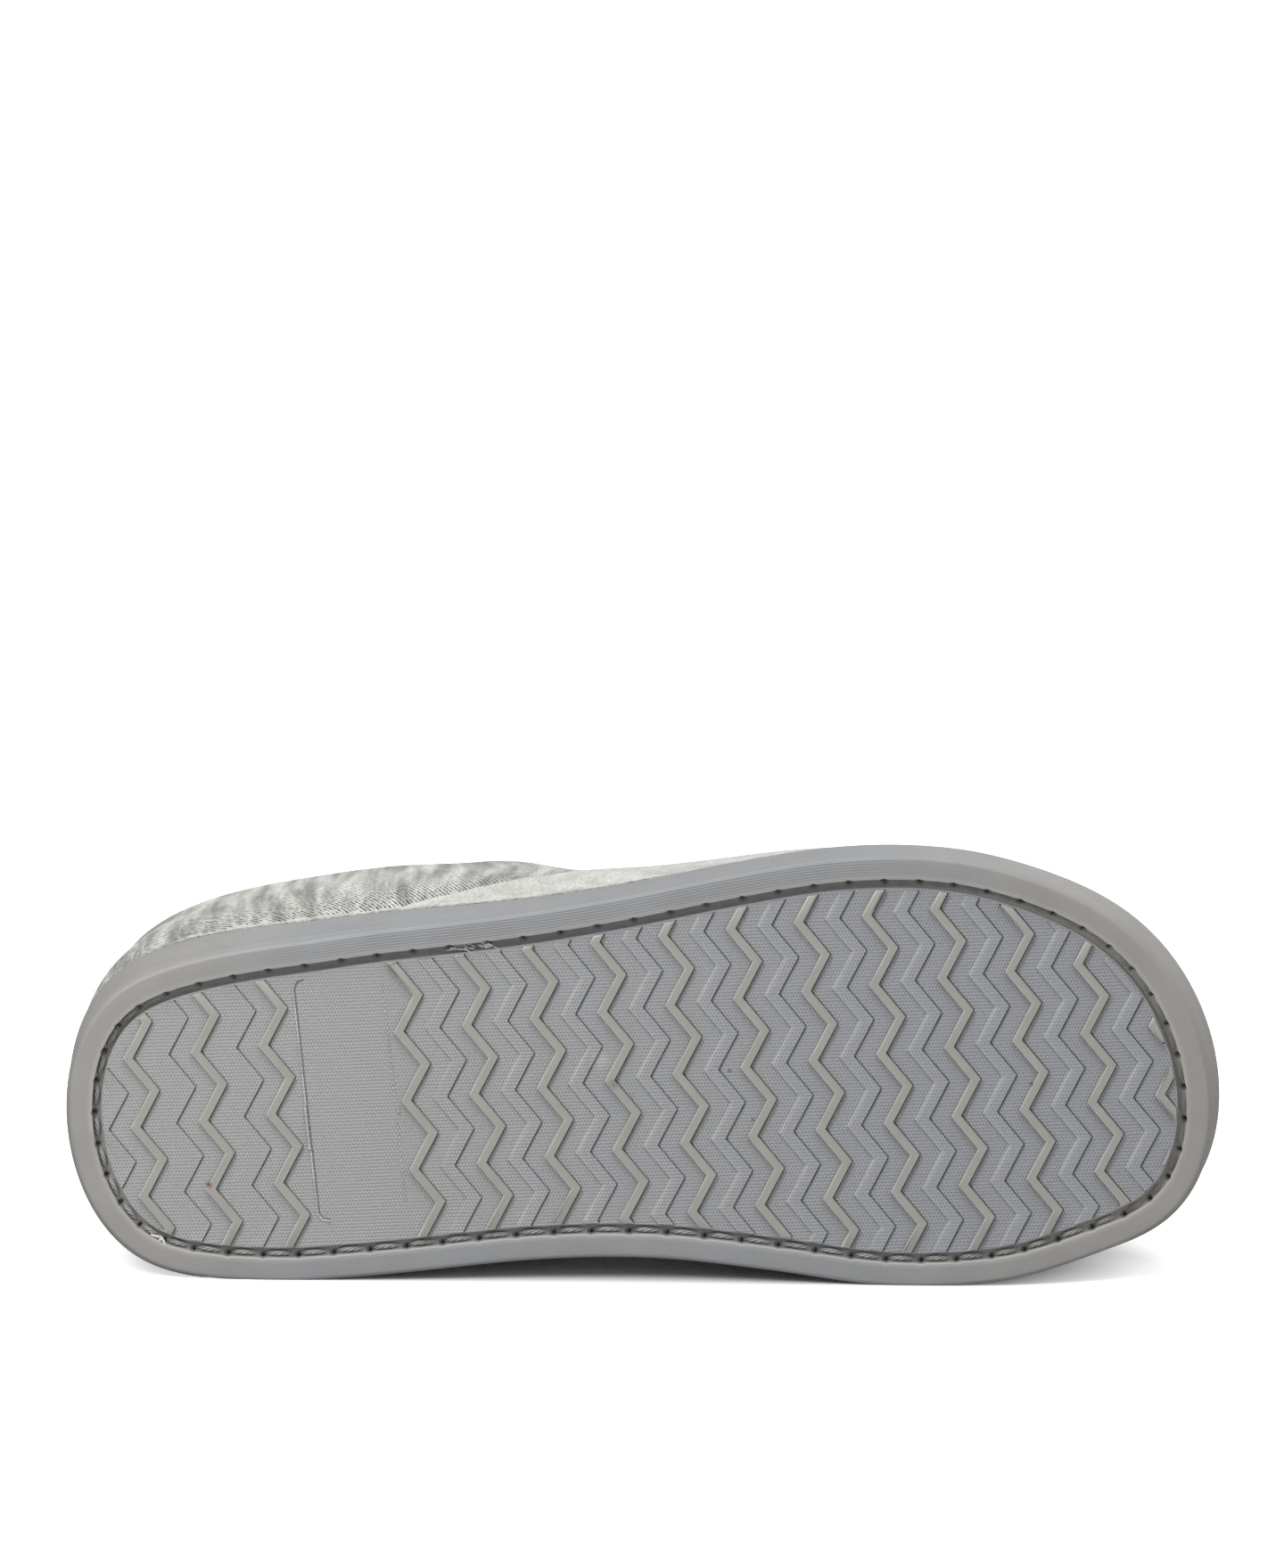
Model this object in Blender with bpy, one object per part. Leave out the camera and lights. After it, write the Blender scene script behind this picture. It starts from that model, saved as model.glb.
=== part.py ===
"""Right-foot closed-back slipper, lying on its medial side: rubber outsole, knit upper and insole.

Each piece is modelled in the shoe's own axes (x from heel to toe along the tread, y to the medial side,
z up from the ground) and then laid on its side by one empty.
"""
import math
from collections import namedtuple

import bmesh
import bpy
import numpy as np
from mathutils import Matrix, Vector

MM = 0.001
GAP = 0.3 * MM

# Outsole: length of the ground edge, and distances in from that edge or up from the ground
SOLE_LENGTH = 284.0 * MM
RIM_WIDTH = 6.0 * MM
RIM_ROUND = 2.0 * MM
GROOVE_WIDTH = 2.2 * MM
GROOVE_DEPTH = 3.0 * MM
PANEL_RECESS = 1.5 * MM
FLOOR_HEIGHT = 7.0 * MM
LIP_THICKNESS = 2.4 * MM
TOE_SPRING = 2.5 * MM
SPRING_START = 0.80
SPRING_CUTS = 5
OUTLINE_STEPS = 46
TURN_STEP = 0.002

# Tread: zigzag ribs across the panel, one every pitch along the sole
RIB_PITCH = 17.0 * MM
RIB_FIRST_TIP = 91.5 * MM
RIB_NUMBERS = tuple(n for n in range(-4, 12) if n != -1)
RIB_WIDTH = 2.2 * MM
RIB_SINK = 0.5 * MM
ZIGZAG_PERIOD = 17.5 * MM
ZIGZAG_TIP_Y = -8.55 * MM
ZIGZAG_DEPTH = 5.8 * MM
RIB_END_GAP = 0.8 * MM

# Upper: wall, collar and vamp
WALL_THICKNESS = 3.0 * MM
UPPER_ROWS = 10
COLLAR_TURNS_IN = 0.35
THROAT = 0.56
THROAT_HEIGHT = 74.0 * MM
THROAT_TO_MEDIAL = 4.0 * MM
RAKE = 0.6
RAKE_RATE = 2.5
VAMP_FORM_FROM = 0.36
VAMP_FORM_BY = 0.66
VAMP_START = 1.6
TOE_BOX_SHARE = 0.3
TOE_BOX_ROUND = 10
QUARTER_FULLNESS = 2.2

# Insole
INSOLE_THICKNESS = 7.0 * MM
INSOLE_EDGE = LIP_THICKNESS + WALL_THICKNESS + 3.0 * GAP
INSOLE_TAPER = 1.8 * MM

# Rest: the tread rises to the toe, the sole looks up a little, and the floor flattens what it touches
TREAD_RISE = math.radians(6.2)
SOLE_LEAN = math.radians(4.3)
REST_AT = Vector((-142.4, -36.2, 36.6)) * MM

# Sections of the sole, millimetres. full is the half width before the ends round off, swing moves the middle to
# the medial side, wall is the height of the side wall, and flare is how far its top stands out from the edge.
SoleSection = namedtuple("SoleSection", "station full swing wall flare_lat flare_med")
SOLE = (
    SoleSection(0.0, 88.9, -0.3, 22.0, 1.4, 1.4),
    SoleSection(0.1, 65.4, 0.0, 22.0, 2.4, -1.2),
    SoleSection(0.2, 53.9, 0.0, 22.0, 1.6, -2.0),
    SoleSection(0.3, 47.4, 0.0, 22.0, 1.8, -2.0),
    SoleSection(0.4, 44.6, -0.2, 21.5, 2.0, -2.0),
    SoleSection(0.5, 45.8, 0.2, 20.5, 0.9, -2.0),
    SoleSection(0.6, 51.2, 1.8, 19.5, 0.6, -2.0),
    SoleSection(0.7, 59.2, 4.4, 18.8, 0.3, -2.0),
    SoleSection(0.8, 66.8, 6.9, 18.5, 0.2, -1.6),
    SoleSection(0.9, 74.1, 10.0, 18.8, 0.7, 0.6),
    SoleSection(1.0, 86.3, 14.7, 19.5, 2.3, 2.3),
)

# Sections of the collar, millimetres: how far it stands out from the ground edge, and its height.
CollarSection = namedtuple("CollarSection", "station out_lat out_med height")
COLLAR = (
    CollarSection(0.0, -3.0, -3.0, 72.0),
    CollarSection(0.05, 0.6, -4.6, 71.0),
    CollarSection(0.1, 3.4, -4.8, 69.0),
    CollarSection(0.2, 6.2, -4.6, 64.0),
    CollarSection(0.3, 6.5, -2.4, 61.5),
    CollarSection(0.35, 5.6, -0.8, 61.0),
)

# Fullness of the wall just over the side wall, millimetres.
BulgeSection = namedtuple("BulgeSection", "station lat med")
BULGE = (
    BulgeSection(0.0, 1.5, 1.5),
    BulgeSection(0.2, 1.0, 1.0),
    BulgeSection(0.35, 1.5, 1.0),
    BulgeSection(0.5, 2.3, 2.2),
    BulgeSection(0.65, 2.2, 2.4),
    BulgeSection(0.8, 1.5, 2.0),
    BulgeSection(1.0, 1.5, 1.5),
)


def column(table, name, station):
    """Value of one column at a station, on a smooth curve through the table's rows."""
    stations = np.array([row.station for row in table])
    values = np.array([getattr(row, name) for row in table]) * MM
    slopes = np.gradient(values, stations)
    i = int(np.clip(np.searchsorted(stations, station, side="right") - 1, 0, len(stations) - 2))
    step = stations[i + 1] - stations[i]
    s = (station - stations[i]) / step
    start = (1 + 2 * s) * (1 - s) ** 2 * values[i] + s * (1 - s) ** 2 * step * slopes[i]
    end = s * s * (3 - 2 * s) * values[i + 1] + s * s * (s - 1) * step * slopes[i + 1]
    return float(start + end)


def station_of(turn):
    """Share of the sole's length at a turn, which runs from 0 at the heel to pi at the toe."""
    return (1 - math.cos(turn)) / 2


def edge_point(turn, side):
    """Point of the ground edge; side is -1 on the lateral side and 1 on the medial side."""
    station = station_of(turn)
    half_width = math.sin(turn) * column(SOLE, "full", station)
    return Vector((SOLE_LENGTH * station, column(SOLE, "swing", station) + side * half_width, 0.0))


def outward(turn, side):
    """Level direction straight out from the ground edge."""
    along = edge_point(turn + TURN_STEP, side) - edge_point(turn - TURN_STEP, side)
    return Vector((-side * along.y, side * along.x, 0.0)).normalized()


def sided(side, lateral, medial):
    """The column name that a side reads."""
    return lateral if side < 0 else medial


# Places around the sole: heel, lateral side, toe, medial side
LATERAL = [(math.pi * k / OUTLINE_STEPS, -1) for k in range(OUTLINE_STEPS + 1)]
MEDIAL = [(turn, 1) for turn, side in reversed(LATERAL[1:-1])]
PLACES = LATERAL + MEDIAL
EDGE = [edge_point(turn, side) for turn, side in PLACES]
OUTWARD = [outward(turn, side) for turn, side in PLACES]


def ring(out, height):
    """Points all round the sole, each moved out from the edge and up; both are values or functions of a place."""
    points = []
    for k, (turn, side) in enumerate(PLACES):
        move = out(turn, side) if callable(out) else out
        rise = height(turn, side) if callable(height) else height
        points.append(EDGE[k] + OUTWARD[k] * move + Vector((0.0, 0.0, rise)))
    return points


def wall_top(turn, side):
    """Height of the side wall at a place."""
    return column(SOLE, "wall", station_of(turn))


def wall_flare(turn, side):
    """How far the top of the side wall stands out from the edge at a place."""
    return column(SOLE, sided(side, "flare_lat", "flare_med"), station_of(turn))


def lip_inside(turn, side):
    """Place of the lip's inner face at its top."""
    return wall_flare(turn, side) - LIP_THICKNESS


def loft(bm, rings, close_ends):
    """Skin closed rings of equal count with quads; the end rings may be closed with a face each."""
    rows = [[bm.verts.new(point) for point in points] for points in rings]
    for low, high in zip(rows, rows[1:]):
        for a in range(len(low)):
            b = (a + 1) % len(low)
            bm.faces.new((low[a], low[b], high[b], high[a]))
    if close_ends:
        bm.faces.new(rows[0])
        bm.faces.new(rows[-1])


def new_object(name, bm):
    """An object of the scene from a bmesh, with its faces pointing out."""
    bmesh.ops.recalc_face_normals(bm, faces=bm.faces[:])
    mesh = bpy.data.meshes.new(name)
    bm.to_mesh(mesh)
    bm.free()
    piece = bpy.data.objects.new(name, mesh)
    bpy.context.scene.collection.objects.link(piece)
    return piece


def baked(piece):
    """A bmesh of the object with its modifiers applied; the object itself is removed."""
    shape = piece.evaluated_get(bpy.context.evaluated_depsgraph_get())
    bm = bmesh.new()
    bm.from_mesh(shape.to_mesh())
    bpy.data.objects.remove(piece)
    return bm


def combine(piece, other, operation):
    """A bmesh of two solids combined by a Boolean; both objects are removed."""
    modifier = piece.modifiers.new(operation.lower(), "BOOLEAN")
    modifier.operation = operation
    modifier.object = other
    bm = baked(piece)
    bpy.data.objects.remove(other)
    return bm


def toe_rise(x):
    """Height that the toe spring lifts a point at x."""
    past = max(0.0, (x / SOLE_LENGTH - SPRING_START) / (1.0 - SPRING_START))
    return TOE_SPRING * past ** 2


def spring_toe(bm):
    """Lift the toe, with cuts across the wide faces so that they can bend."""
    for cut in range(SPRING_CUTS):
        x = SOLE_LENGTH * (SPRING_START + (1.0 - SPRING_START) * cut / SPRING_CUTS)
        everything = bm.verts[:] + bm.edges[:] + bm.faces[:]
        bmesh.ops.bisect_plane(bm, geom=everything, dist=1e-7, plane_co=(x, 0.0, 0.0), plane_no=(1.0, 0.0, 0.0))
    for vert in bm.verts:
        vert.co.z += toe_rise(vert.co.x)


def rest_matrix():
    """Turns the standing shoe onto its medial side, sole towards -Y and toe towards +X."""
    on_side = Matrix.Rotation(-(math.pi / 2 + SOLE_LEAN), 4, "X")
    return Matrix.Translation(REST_AT) @ on_side @ Matrix.Rotation(-TREAD_RISE, 4, "Z")


def flatten_on_floor(bm):
    """Cut a piece along the floor that it lies on, which leaves a flat spot where it touches."""
    to_shoe = rest_matrix().inverted()
    up = to_shoe.to_3x3() @ Vector((0.0, 0.0, 1.0))
    everything = bm.verts[:] + bm.edges[:] + bm.faces[:]
    bmesh.ops.bisect_plane(
        bm, geom=everything, dist=1e-7, plane_co=to_shoe.translation, plane_no=up, clear_inner=True
    )
    bmesh.ops.holes_fill(bm, edges=[edge for edge in bm.edges if edge.is_boundary], sides=0)


def finish(name, bm, colour, roughness):
    """The finished node: laid on the floor, with its material, and parented to the empty."""
    bmesh.ops.triangulate(bm, faces=[face for face in bm.faces if len(face.verts) > 4])
    piece = new_object(name, bm)
    piece.data.shade_smooth()
    piece.data.set_sharp_from_angle(angle=math.radians(35))
    material = bpy.data.materials.new(name)
    material.use_nodes = True
    shader = material.node_tree.nodes["Principled BSDF"]
    shader.inputs["Base Color"].default_value = (*colour, 1.0)
    shader.inputs["Roughness"].default_value = roughness
    shader.inputs["Metallic"].default_value = 0.0
    piece.data.materials.append(material)
    piece.parent = bpy.data.objects["slipper"]
    return piece


def tread_ribs():
    """The zigzag ribs as upright bars, cut to the tread panel's outline."""
    half = ZIGZAG_PERIOD / 2
    tips = range(-7, 9)
    bm = bmesh.new()
    for number in RIB_NUMBERS:
        front_x = RIB_FIRST_TIP + RIB_PITCH * number
        front = []
        back = []
        for tip in tips:
            x = front_x - (ZIGZAG_DEPTH if tip % 2 else 0.0)
            y = ZIGZAG_TIP_Y + half * tip
            front.append(bm.verts.new((x, y, 0.0)))
            back.append(bm.verts.new((x - RIB_WIDTH, y, 0.0)))
        strips = []
        for a in range(len(front) - 1):
            strips.append(bm.faces.new((back[a], front[a], front[a + 1], back[a + 1])))
        top = bmesh.ops.extrude_face_region(bm, geom=strips)
        lifted = [part for part in top["geom"] if isinstance(part, bmesh.types.BMVert)]
        bmesh.ops.translate(bm, verts=lifted, vec=(0.0, 0.0, PANEL_RECESS + RIB_SINK))
    ribs = new_object("ribs", bm)
    cutter = bmesh.new()
    inset = -(RIM_WIDTH + GROOVE_WIDTH + RIB_END_GAP)
    loft(cutter, [ring(inset, -5.0 * MM), ring(inset, 5.0 * MM)], close_ends=True)
    return new_object("tread_ribs", combine(ribs, new_object("panel_outline", cutter), "INTERSECT"))


def build_outsole():
    """Cup sole: tread panel, stitch groove, ground rim, side wall, lip and cup floor."""
    panel_edge = -(RIM_WIDTH + GROOVE_WIDTH)
    corner = RIM_ROUND * (1.0 - math.sqrt(0.5))
    bm = bmesh.new()
    loft(bm, [
        ring(panel_edge, PANEL_RECESS),
        ring(panel_edge, GROOVE_DEPTH),
        ring(-RIM_WIDTH, GROOVE_DEPTH),
        ring(-RIM_WIDTH, 0.0),
        ring(-RIM_ROUND, 0.0),
        ring(-corner, corner),
        ring(0.0, RIM_ROUND),
        ring(wall_flare, wall_top),
        ring(lip_inside, wall_top),
        ring(-LIP_THICKNESS, FLOOR_HEIGHT),
    ], close_ends=True)
    bm = combine(new_object("cup", bm), tread_ribs(), "UNION")
    spring_toe(bm)
    flatten_on_floor(bm)
    finish("outsole", bm, (0.30, 0.30, 0.31), 0.6)


def collar_point(turn, side):
    """Point of the collar line; turn runs from 0 at the heel to pi at the middle of the throat."""
    side_turn = math.acos(1 - 2 * COLLAR_TURNS_IN)
    on_side = min(turn, side_turn)
    out = column(COLLAR, sided(side, "out_lat", "out_med"), station_of(on_side))
    point = edge_point(on_side, side) + outward(on_side, side) * out
    point.z = column(COLLAR, "height", station_of(on_side))
    throat = Vector((SOLE_LENGTH * THROAT, column(SOLE, "swing", THROAT) + THROAT_TO_MEDIAL, THROAT_HEIGHT))
    sweep = (turn - on_side) / (math.pi - side_turn) * math.pi / 2
    x = point.x + (throat.x - point.x) * math.sin(sweep)
    y = throat.y + (point.y - throat.y) * math.cos(sweep)
    z = point.z + (throat.z - point.z) * math.sin(sweep) ** 2
    return Vector((x, y, z))


def shares_along(line):
    """How far along a line each of its points lies, from 0 to 1."""
    steps = [(b - a).length for a, b in zip(line, line[1:])]
    along = np.concatenate(([0.0], np.cumsum(steps)))
    return along / along[-1]


FINE_TURNS = np.linspace(0.0, math.pi, 181)
EDGE_SHARES = {side: shares_along([edge_point(turn, side) for turn in FINE_TURNS]) for side in (-1, 1)}
COLLAR_SHARES = {side: shares_along([collar_point(turn, side) for turn in FINE_TURNS]) for side in (-1, 1)}


def top_point(turn, side):
    """Where the wall from a place meets the collar: straight up at the heel, raked back more towards the toe."""
    share = float(np.interp(turn, FINE_TURNS, EDGE_SHARES[side]))
    share = RAKE * (1 - (1 - share) ** RAKE_RATE) + (1 - RAKE) * share
    return collar_point(float(np.interp(share, COLLAR_SHARES[side], FINE_TURNS)), side)


def upper_wall(k):
    """Points up the wall at place k, from the cup floor, past the lip, to the collar."""
    turn, side = PLACES[k]
    station = station_of(turn)
    foot = EDGE[k] - OUTWARD[k] * (LIP_THICKNESS + GAP)
    lip = foot + OUTWARD[k] * wall_flare(turn, side)
    foot.z = FLOOR_HEIGHT + 3.0 * GAP
    lip.z = wall_top(turn, side) + GAP
    span = top_point(turn, side) - lip
    across = OUTWARD[k] * span.dot(OUTWARD[k])
    lengthwise = span - across
    lengthwise.z = 0.0
    s = min(1.0, max(0.0, (station - VAMP_FORM_FROM) / (VAMP_FORM_BY - VAMP_FORM_FROM)))
    vamp = s * s * (3 - 2 * s)
    swell = column(BULGE, sided(side, "lat", "med"), station)
    points = [foot, lip]
    for row in range(1, UPPER_ROWS + 1):
        r = row / UPPER_ROWS
        over = r ** VAMP_START
        vamp_rise = TOE_BOX_SHARE * (1 - (1 - over) ** TOE_BOX_ROUND) + (1 - TOE_BOX_SHARE) * over
        point = lip + across * ((1 - vamp) * (1 - (1 - r) ** QUARTER_FULLNESS) + vamp * over)
        point += lengthwise * ((1 - vamp) * r + vamp * over)
        point += OUTWARD[k] * swell * r * (1 - r) ** 3 * 256 / 27
        point.z = lip.z + span.z * ((1 - vamp) * r + vamp * vamp_rise)
        points.append(point)
    return points


def build_upper():
    """One knit shell: a skin of walls that rise from the cup to the collar, given its thickness."""
    bm = bmesh.new()
    rings = list(zip(*(upper_wall(k) for k in range(len(PLACES)))))
    loft(bm, rings, close_ends=False)
    for vert in bm.verts:
        vert.co.z += toe_rise(vert.co.x)
    skin = new_object("skin", bm)
    wall = skin.modifiers.new("wall", "SOLIDIFY")
    wall.thickness = WALL_THICKNESS
    wall.offset = -1.0
    bm = baked(skin)
    flatten_on_floor(bm)
    finish("upper", bm, (0.45, 0.45, 0.46), 0.95)


def build_insole():
    """Soft footbed on the cup floor, with a tapered edge."""
    bottom = FLOOR_HEIGHT + GAP
    bm = bmesh.new()
    loft(bm, [
        ring(-INSOLE_EDGE, bottom),
        ring(-INSOLE_EDGE - INSOLE_TAPER / 2, bottom + INSOLE_THICKNESS * 0.7),
        ring(-INSOLE_EDGE - INSOLE_TAPER, bottom + INSOLE_THICKNESS),
    ], close_ends=True)
    spring_toe(bm)
    finish("insole", bm, (0.20, 0.20, 0.21), 0.9)


for leftover in list(bpy.data.objects):
    bpy.data.objects.remove(leftover)

rest = bpy.data.objects.new("slipper", None)
bpy.context.scene.collection.objects.link(rest)
rest.matrix_world = rest_matrix()

build_outsole()
build_upper()
build_insole()
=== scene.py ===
import random
from collections import namedtuple
from math import acos, cos, exp, hypot, pi, radians, sin, tan

import bmesh
import bpy
import numpy as np
from mathutils import Matrix, Vector
from mathutils.geometry import delaunay_2d_cdt


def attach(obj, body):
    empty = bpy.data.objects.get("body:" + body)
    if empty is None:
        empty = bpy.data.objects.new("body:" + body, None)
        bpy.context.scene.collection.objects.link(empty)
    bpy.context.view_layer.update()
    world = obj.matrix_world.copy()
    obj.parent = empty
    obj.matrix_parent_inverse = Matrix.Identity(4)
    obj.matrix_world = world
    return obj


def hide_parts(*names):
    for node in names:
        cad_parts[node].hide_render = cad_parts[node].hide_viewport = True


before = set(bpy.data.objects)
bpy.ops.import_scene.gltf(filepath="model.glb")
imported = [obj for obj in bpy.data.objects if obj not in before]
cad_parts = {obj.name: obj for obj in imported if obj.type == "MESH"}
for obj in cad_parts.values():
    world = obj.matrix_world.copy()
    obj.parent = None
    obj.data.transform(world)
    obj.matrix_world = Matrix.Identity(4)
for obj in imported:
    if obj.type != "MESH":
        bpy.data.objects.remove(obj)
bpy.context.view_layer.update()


# Outsole: a cup of grey rubber, moulded in one shot, with a smooth rim, a sunk groove for the stitching and a
# textured panel with zigzag ribs on its ground side, and a side wall that ends in a lip round the upper.
# Modelled standing on the ground: x from heel to toe, y to the medial side, z up.
MM = 0.001
SOLE_LENGTH = 284 * MM
RIM_WIDTH = 6.0 * MM
GROUND_ROUND = 1.2 * MM
GROOVE_WIDTH = 2.1 * MM
GROOVE_LEVEL = 3.0 * MM
PANEL_LEVEL = 1.5 * MM
PANEL_SHOULDER = 0.3 * MM
GROOVE_FILLET = 0.3 * MM
RIM_EDGE_ROUND = 0.4 * MM
BEAD_OUT = 0.7 * MM
BEAD_SECTION = ((0.7, 2.6), (1.0, 3.4), (0.8, 4.6), (0.2, 5.8))
BEAD_TOP = 7.0 * MM
BEAD_FADES = (0.2, 0.42)
BEAD_RETURNS = (0.82, 0.97)
CUP_FLOOR = 7.0 * MM
LIP_THICKNESS = 2.4 * MM
LIP_ROUND = 0.7 * MM
TOE_SPRING = 2.5 * MM
SPRING_START = 0.80
STITCH_COUNT = 74
COLUMNS_PER_STITCH = 16
HOLE_RADIUS = 0.65 * MM
HOLE_DEPTH = 2.2 * MM
HOLE_BITE = 0.3 * MM
HOLE_REACH = 0.7
GROOVE_ROWS = (0.4, 0.65)
RIM_ROWS = (0.75, 0.54)
WALL_ROWS = (0.0, 0.2, 0.4, 0.6, 0.8)
WELD = 1e-6
NEAR = 0.1 * MM
LINES_COME_IN = (0.12, 0.30)
LINES_FADE = (0.68, 0.82)
LINES_SLANT = tan(radians(19))
LINES_END = {-1: (11.0 * MM, 17.0 * MM), 1: (0.5 * MM, 1.2 * MM)}
WALL_LINE_SHARE = 0.3
HATCH_BAND = 10.0 * MM
MEDIAL_WEAR = 0.5

# Sections of the sole, millimetres: full is the half width before the ends round off, swing moves the middle
# to the medial side, wall is the side wall's height, and flare is how far its top stands out.
SoleSection = namedtuple("SoleSection", "station full swing wall flare_lat flare_med")
SOLE = [SoleSection(*row) for row in (
    (0.0, 88.9, -0.3, 22.0, 1.4, 1.4),
    (0.1, 65.4, 0.0, 22.0, 2.4, -1.2),
    (0.2, 53.4, 0.4, 22.0, 1.8, -2.0),
    (0.3, 47.4, 0.0, 22.0, 1.2, -2.0),
    (0.4, 44.6, -0.2, 21.5, 0.6, -2.0),
    (0.5, 45.8, 0.2, 20.5, 0.2, -2.0),
    (0.6, 51.2, 1.8, 19.5, 0.3, -2.0),
    (0.7, 59.2, 4.4, 18.8, 0.3, -2.0),
    (0.8, 66.8, 6.9, 18.5, 0.2, -1.6),
    (0.9, 74.4, 10.2, 18.8, 0.7, 0.0),
    (1.0, 90.6, 16.8, 19.5, 2.3, 2.3),
)]


def column(table, name, station):
    """Value of one column at a station, on a smooth curve through the table's rows."""
    stations = np.array([row.station for row in table])
    values = np.array([getattr(row, name) for row in table]) * MM
    slopes = np.gradient(values, stations)
    i = int(np.clip(np.searchsorted(stations, station, side="right") - 1, 0, len(stations) - 2))
    step = stations[i + 1] - stations[i]
    s = (station - stations[i]) / step
    start = (1 + 2 * s) * (1 - s) ** 2 * values[i] + s * (1 - s) ** 2 * step * slopes[i]
    end = s * s * (3 - 2 * s) * values[i + 1] + s * s * (s - 1) * step * slopes[i + 1]
    return float(start + end)


def ease(value, low, high):
    """Smooth step from 0 at low to 1 at high."""
    s = min(1.0, max(0.0, (value - low) / (high - low)))
    return s * s * (3 - 2 * s)


def edge_point(turn):
    """Point of the ground edge; turn runs once round: heel, lateral side, toe at pi, medial side."""
    station = (1 - cos(turn)) / 2
    half_width = sin(turn) * column(SOLE, "full", station)
    return Vector((SOLE_LENGTH * station, column(SOLE, "swing", station) - half_width, 0.0))


Place = namedtuple("Place", "turn station side point outward")
LOOK_ROUND = 0.002


def place_at(turn):
    """The ground edge at a turn, with its level outward direction; side is -1 lateral and 1 medial."""
    ahead = edge_point(turn + LOOK_ROUND) - edge_point(turn - LOOK_ROUND)
    outward = Vector((ahead.y, -ahead.x, 0.0)).normalized()
    side = -1 if sin(turn) >= 0 else 1
    return Place(turn, (1 - cos(turn)) / 2, side, edge_point(turn), outward)


FINE_TURNS = np.linspace(0, 2 * pi, 1441)
FINE_STEPS = [edge_point(a) - edge_point(b) for a, b in zip(FINE_TURNS[1:], FINE_TURNS)]
FINE_ALONG = np.concatenate(([0.0], np.cumsum([step.length for step in FINE_STEPS])))
ROUND_LENGTH = float(FINE_ALONG[-1])
STITCH_PITCH = ROUND_LENGTH / STITCH_COUNT


def place_along(distance):
    """The place at a distance along the ground edge from the middle of the heel."""
    return place_at(float(np.interp(distance % ROUND_LENGTH, FINE_ALONG, FINE_TURNS)))


def round_places(count):
    """Places evenly round the ground edge, with the first again at the end."""
    return [place_along(ROUND_LENGTH * (k % count) / count) for k in range(count + 1)]


def sided(table, name, place):
    """Value of a table's column for the place's own side."""
    return column(table, name + ("_lat" if place.side < 0 else "_med"), place.station)


def off_edge(place, out, height):
    """The point so far outward of a place on the ground edge, at a height."""
    return place.point + place.outward * out + Vector((0, 0, height))


def arc(out, height, radius, first, last, steps):
    """Points of an arc in the sole's section, between two angles in degrees."""
    angles = [radians(first + (last - first) * step / steps) for step in range(steps + 1)]
    return [(out + radius * cos(a), height + radius * sin(a)) for a in angles]


def cup_section(place):
    """Section of the cup at a place, as (out, height), from the panel round the rim to the cup's floor."""
    panel = -RIM_WIDTH - GROOVE_WIDTH
    wall = column(SOLE, "wall", place.station)
    flare = sided(SOLE, "flare", place)
    bead = BEAD_OUT * (1 - ease(place.station, *BEAD_FADES) + ease(place.station, *BEAD_RETURNS))
    points = arc(panel - PANEL_SHOULDER, PANEL_LEVEL + PANEL_SHOULDER, PANEL_SHOULDER, -90, 0, 2)
    points += arc(panel + GROOVE_FILLET, GROOVE_LEVEL - GROOVE_FILLET, GROOVE_FILLET, 180, 90, 2)
    points += [(panel + GROOVE_WIDTH * share, GROOVE_LEVEL) for share in GROOVE_ROWS]
    points += arc(-RIM_WIDTH - GROOVE_FILLET, GROOVE_LEVEL - GROOVE_FILLET, GROOVE_FILLET, 90, 0, 2)
    points += [(-RIM_WIDTH, GROOVE_LEVEL / 2)]
    points += arc(-RIM_WIDTH + RIM_EDGE_ROUND, RIM_EDGE_ROUND, RIM_EDGE_ROUND, 180, 270, 3)
    points += [(-RIM_WIDTH * share, 0.0) for share in RIM_ROWS]
    points += arc(-GROUND_ROUND, GROUND_ROUND, GROUND_ROUND, 270, 360, 6)
    points += [(bead * share, height * MM) for share, height in BEAD_SECTION]
    points += [(flare * share, BEAD_TOP + (wall - LIP_ROUND - BEAD_TOP) * share) for share in WALL_ROWS]
    points += arc(flare - LIP_ROUND, wall - LIP_ROUND, LIP_ROUND, 0, 90, 3)
    points += arc(flare - LIP_THICKNESS + LIP_ROUND, wall - LIP_ROUND, LIP_ROUND, 90, 180, 2)
    points += [(-LIP_THICKNESS, CUP_FLOOR)]
    return points


def pitted(out, height, hole):
    """A point of the groove where a needle hole deepens its floor and bites into the rim; hole is 0 to 1."""
    start = -RIM_WIDTH - GROOVE_WIDTH * HOLE_REACH
    if not start < out < -RIM_WIDTH + RIM_EDGE_ROUND * 1.01:
        return out, height
    near_rim = ease(out, start, -RIM_WIDTH - GROOVE_FILLET)
    if height > GROOVE_LEVEL * 0.8:
        height += HOLE_DEPTH * near_rim * hole
    return out + HOLE_BITE * near_rim * hole, height


def toe_rise(x):
    """Height that the toe spring lifts a point at x."""
    past = max(0.0, (x / SOLE_LENGTH - SPRING_START) / (1.0 - SPRING_START))
    return TOE_SPRING * past ** 2


# The shoe lies on its medial side: the tread rises to the toe and the sole looks up a little.
TREAD_RISE = radians(6.2)
SOLE_LEAN = radians(4.3)
REST_AT = Vector((-142.4, -36.2, 36.6)) * MM
ON_SIDE = Matrix.Rotation(-(pi / 2 + SOLE_LEAN), 4, "X")
LAID = Matrix.Translation(REST_AT) @ ON_SIDE @ Matrix.Rotation(-TREAD_RISE, 4, "Z")


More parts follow.
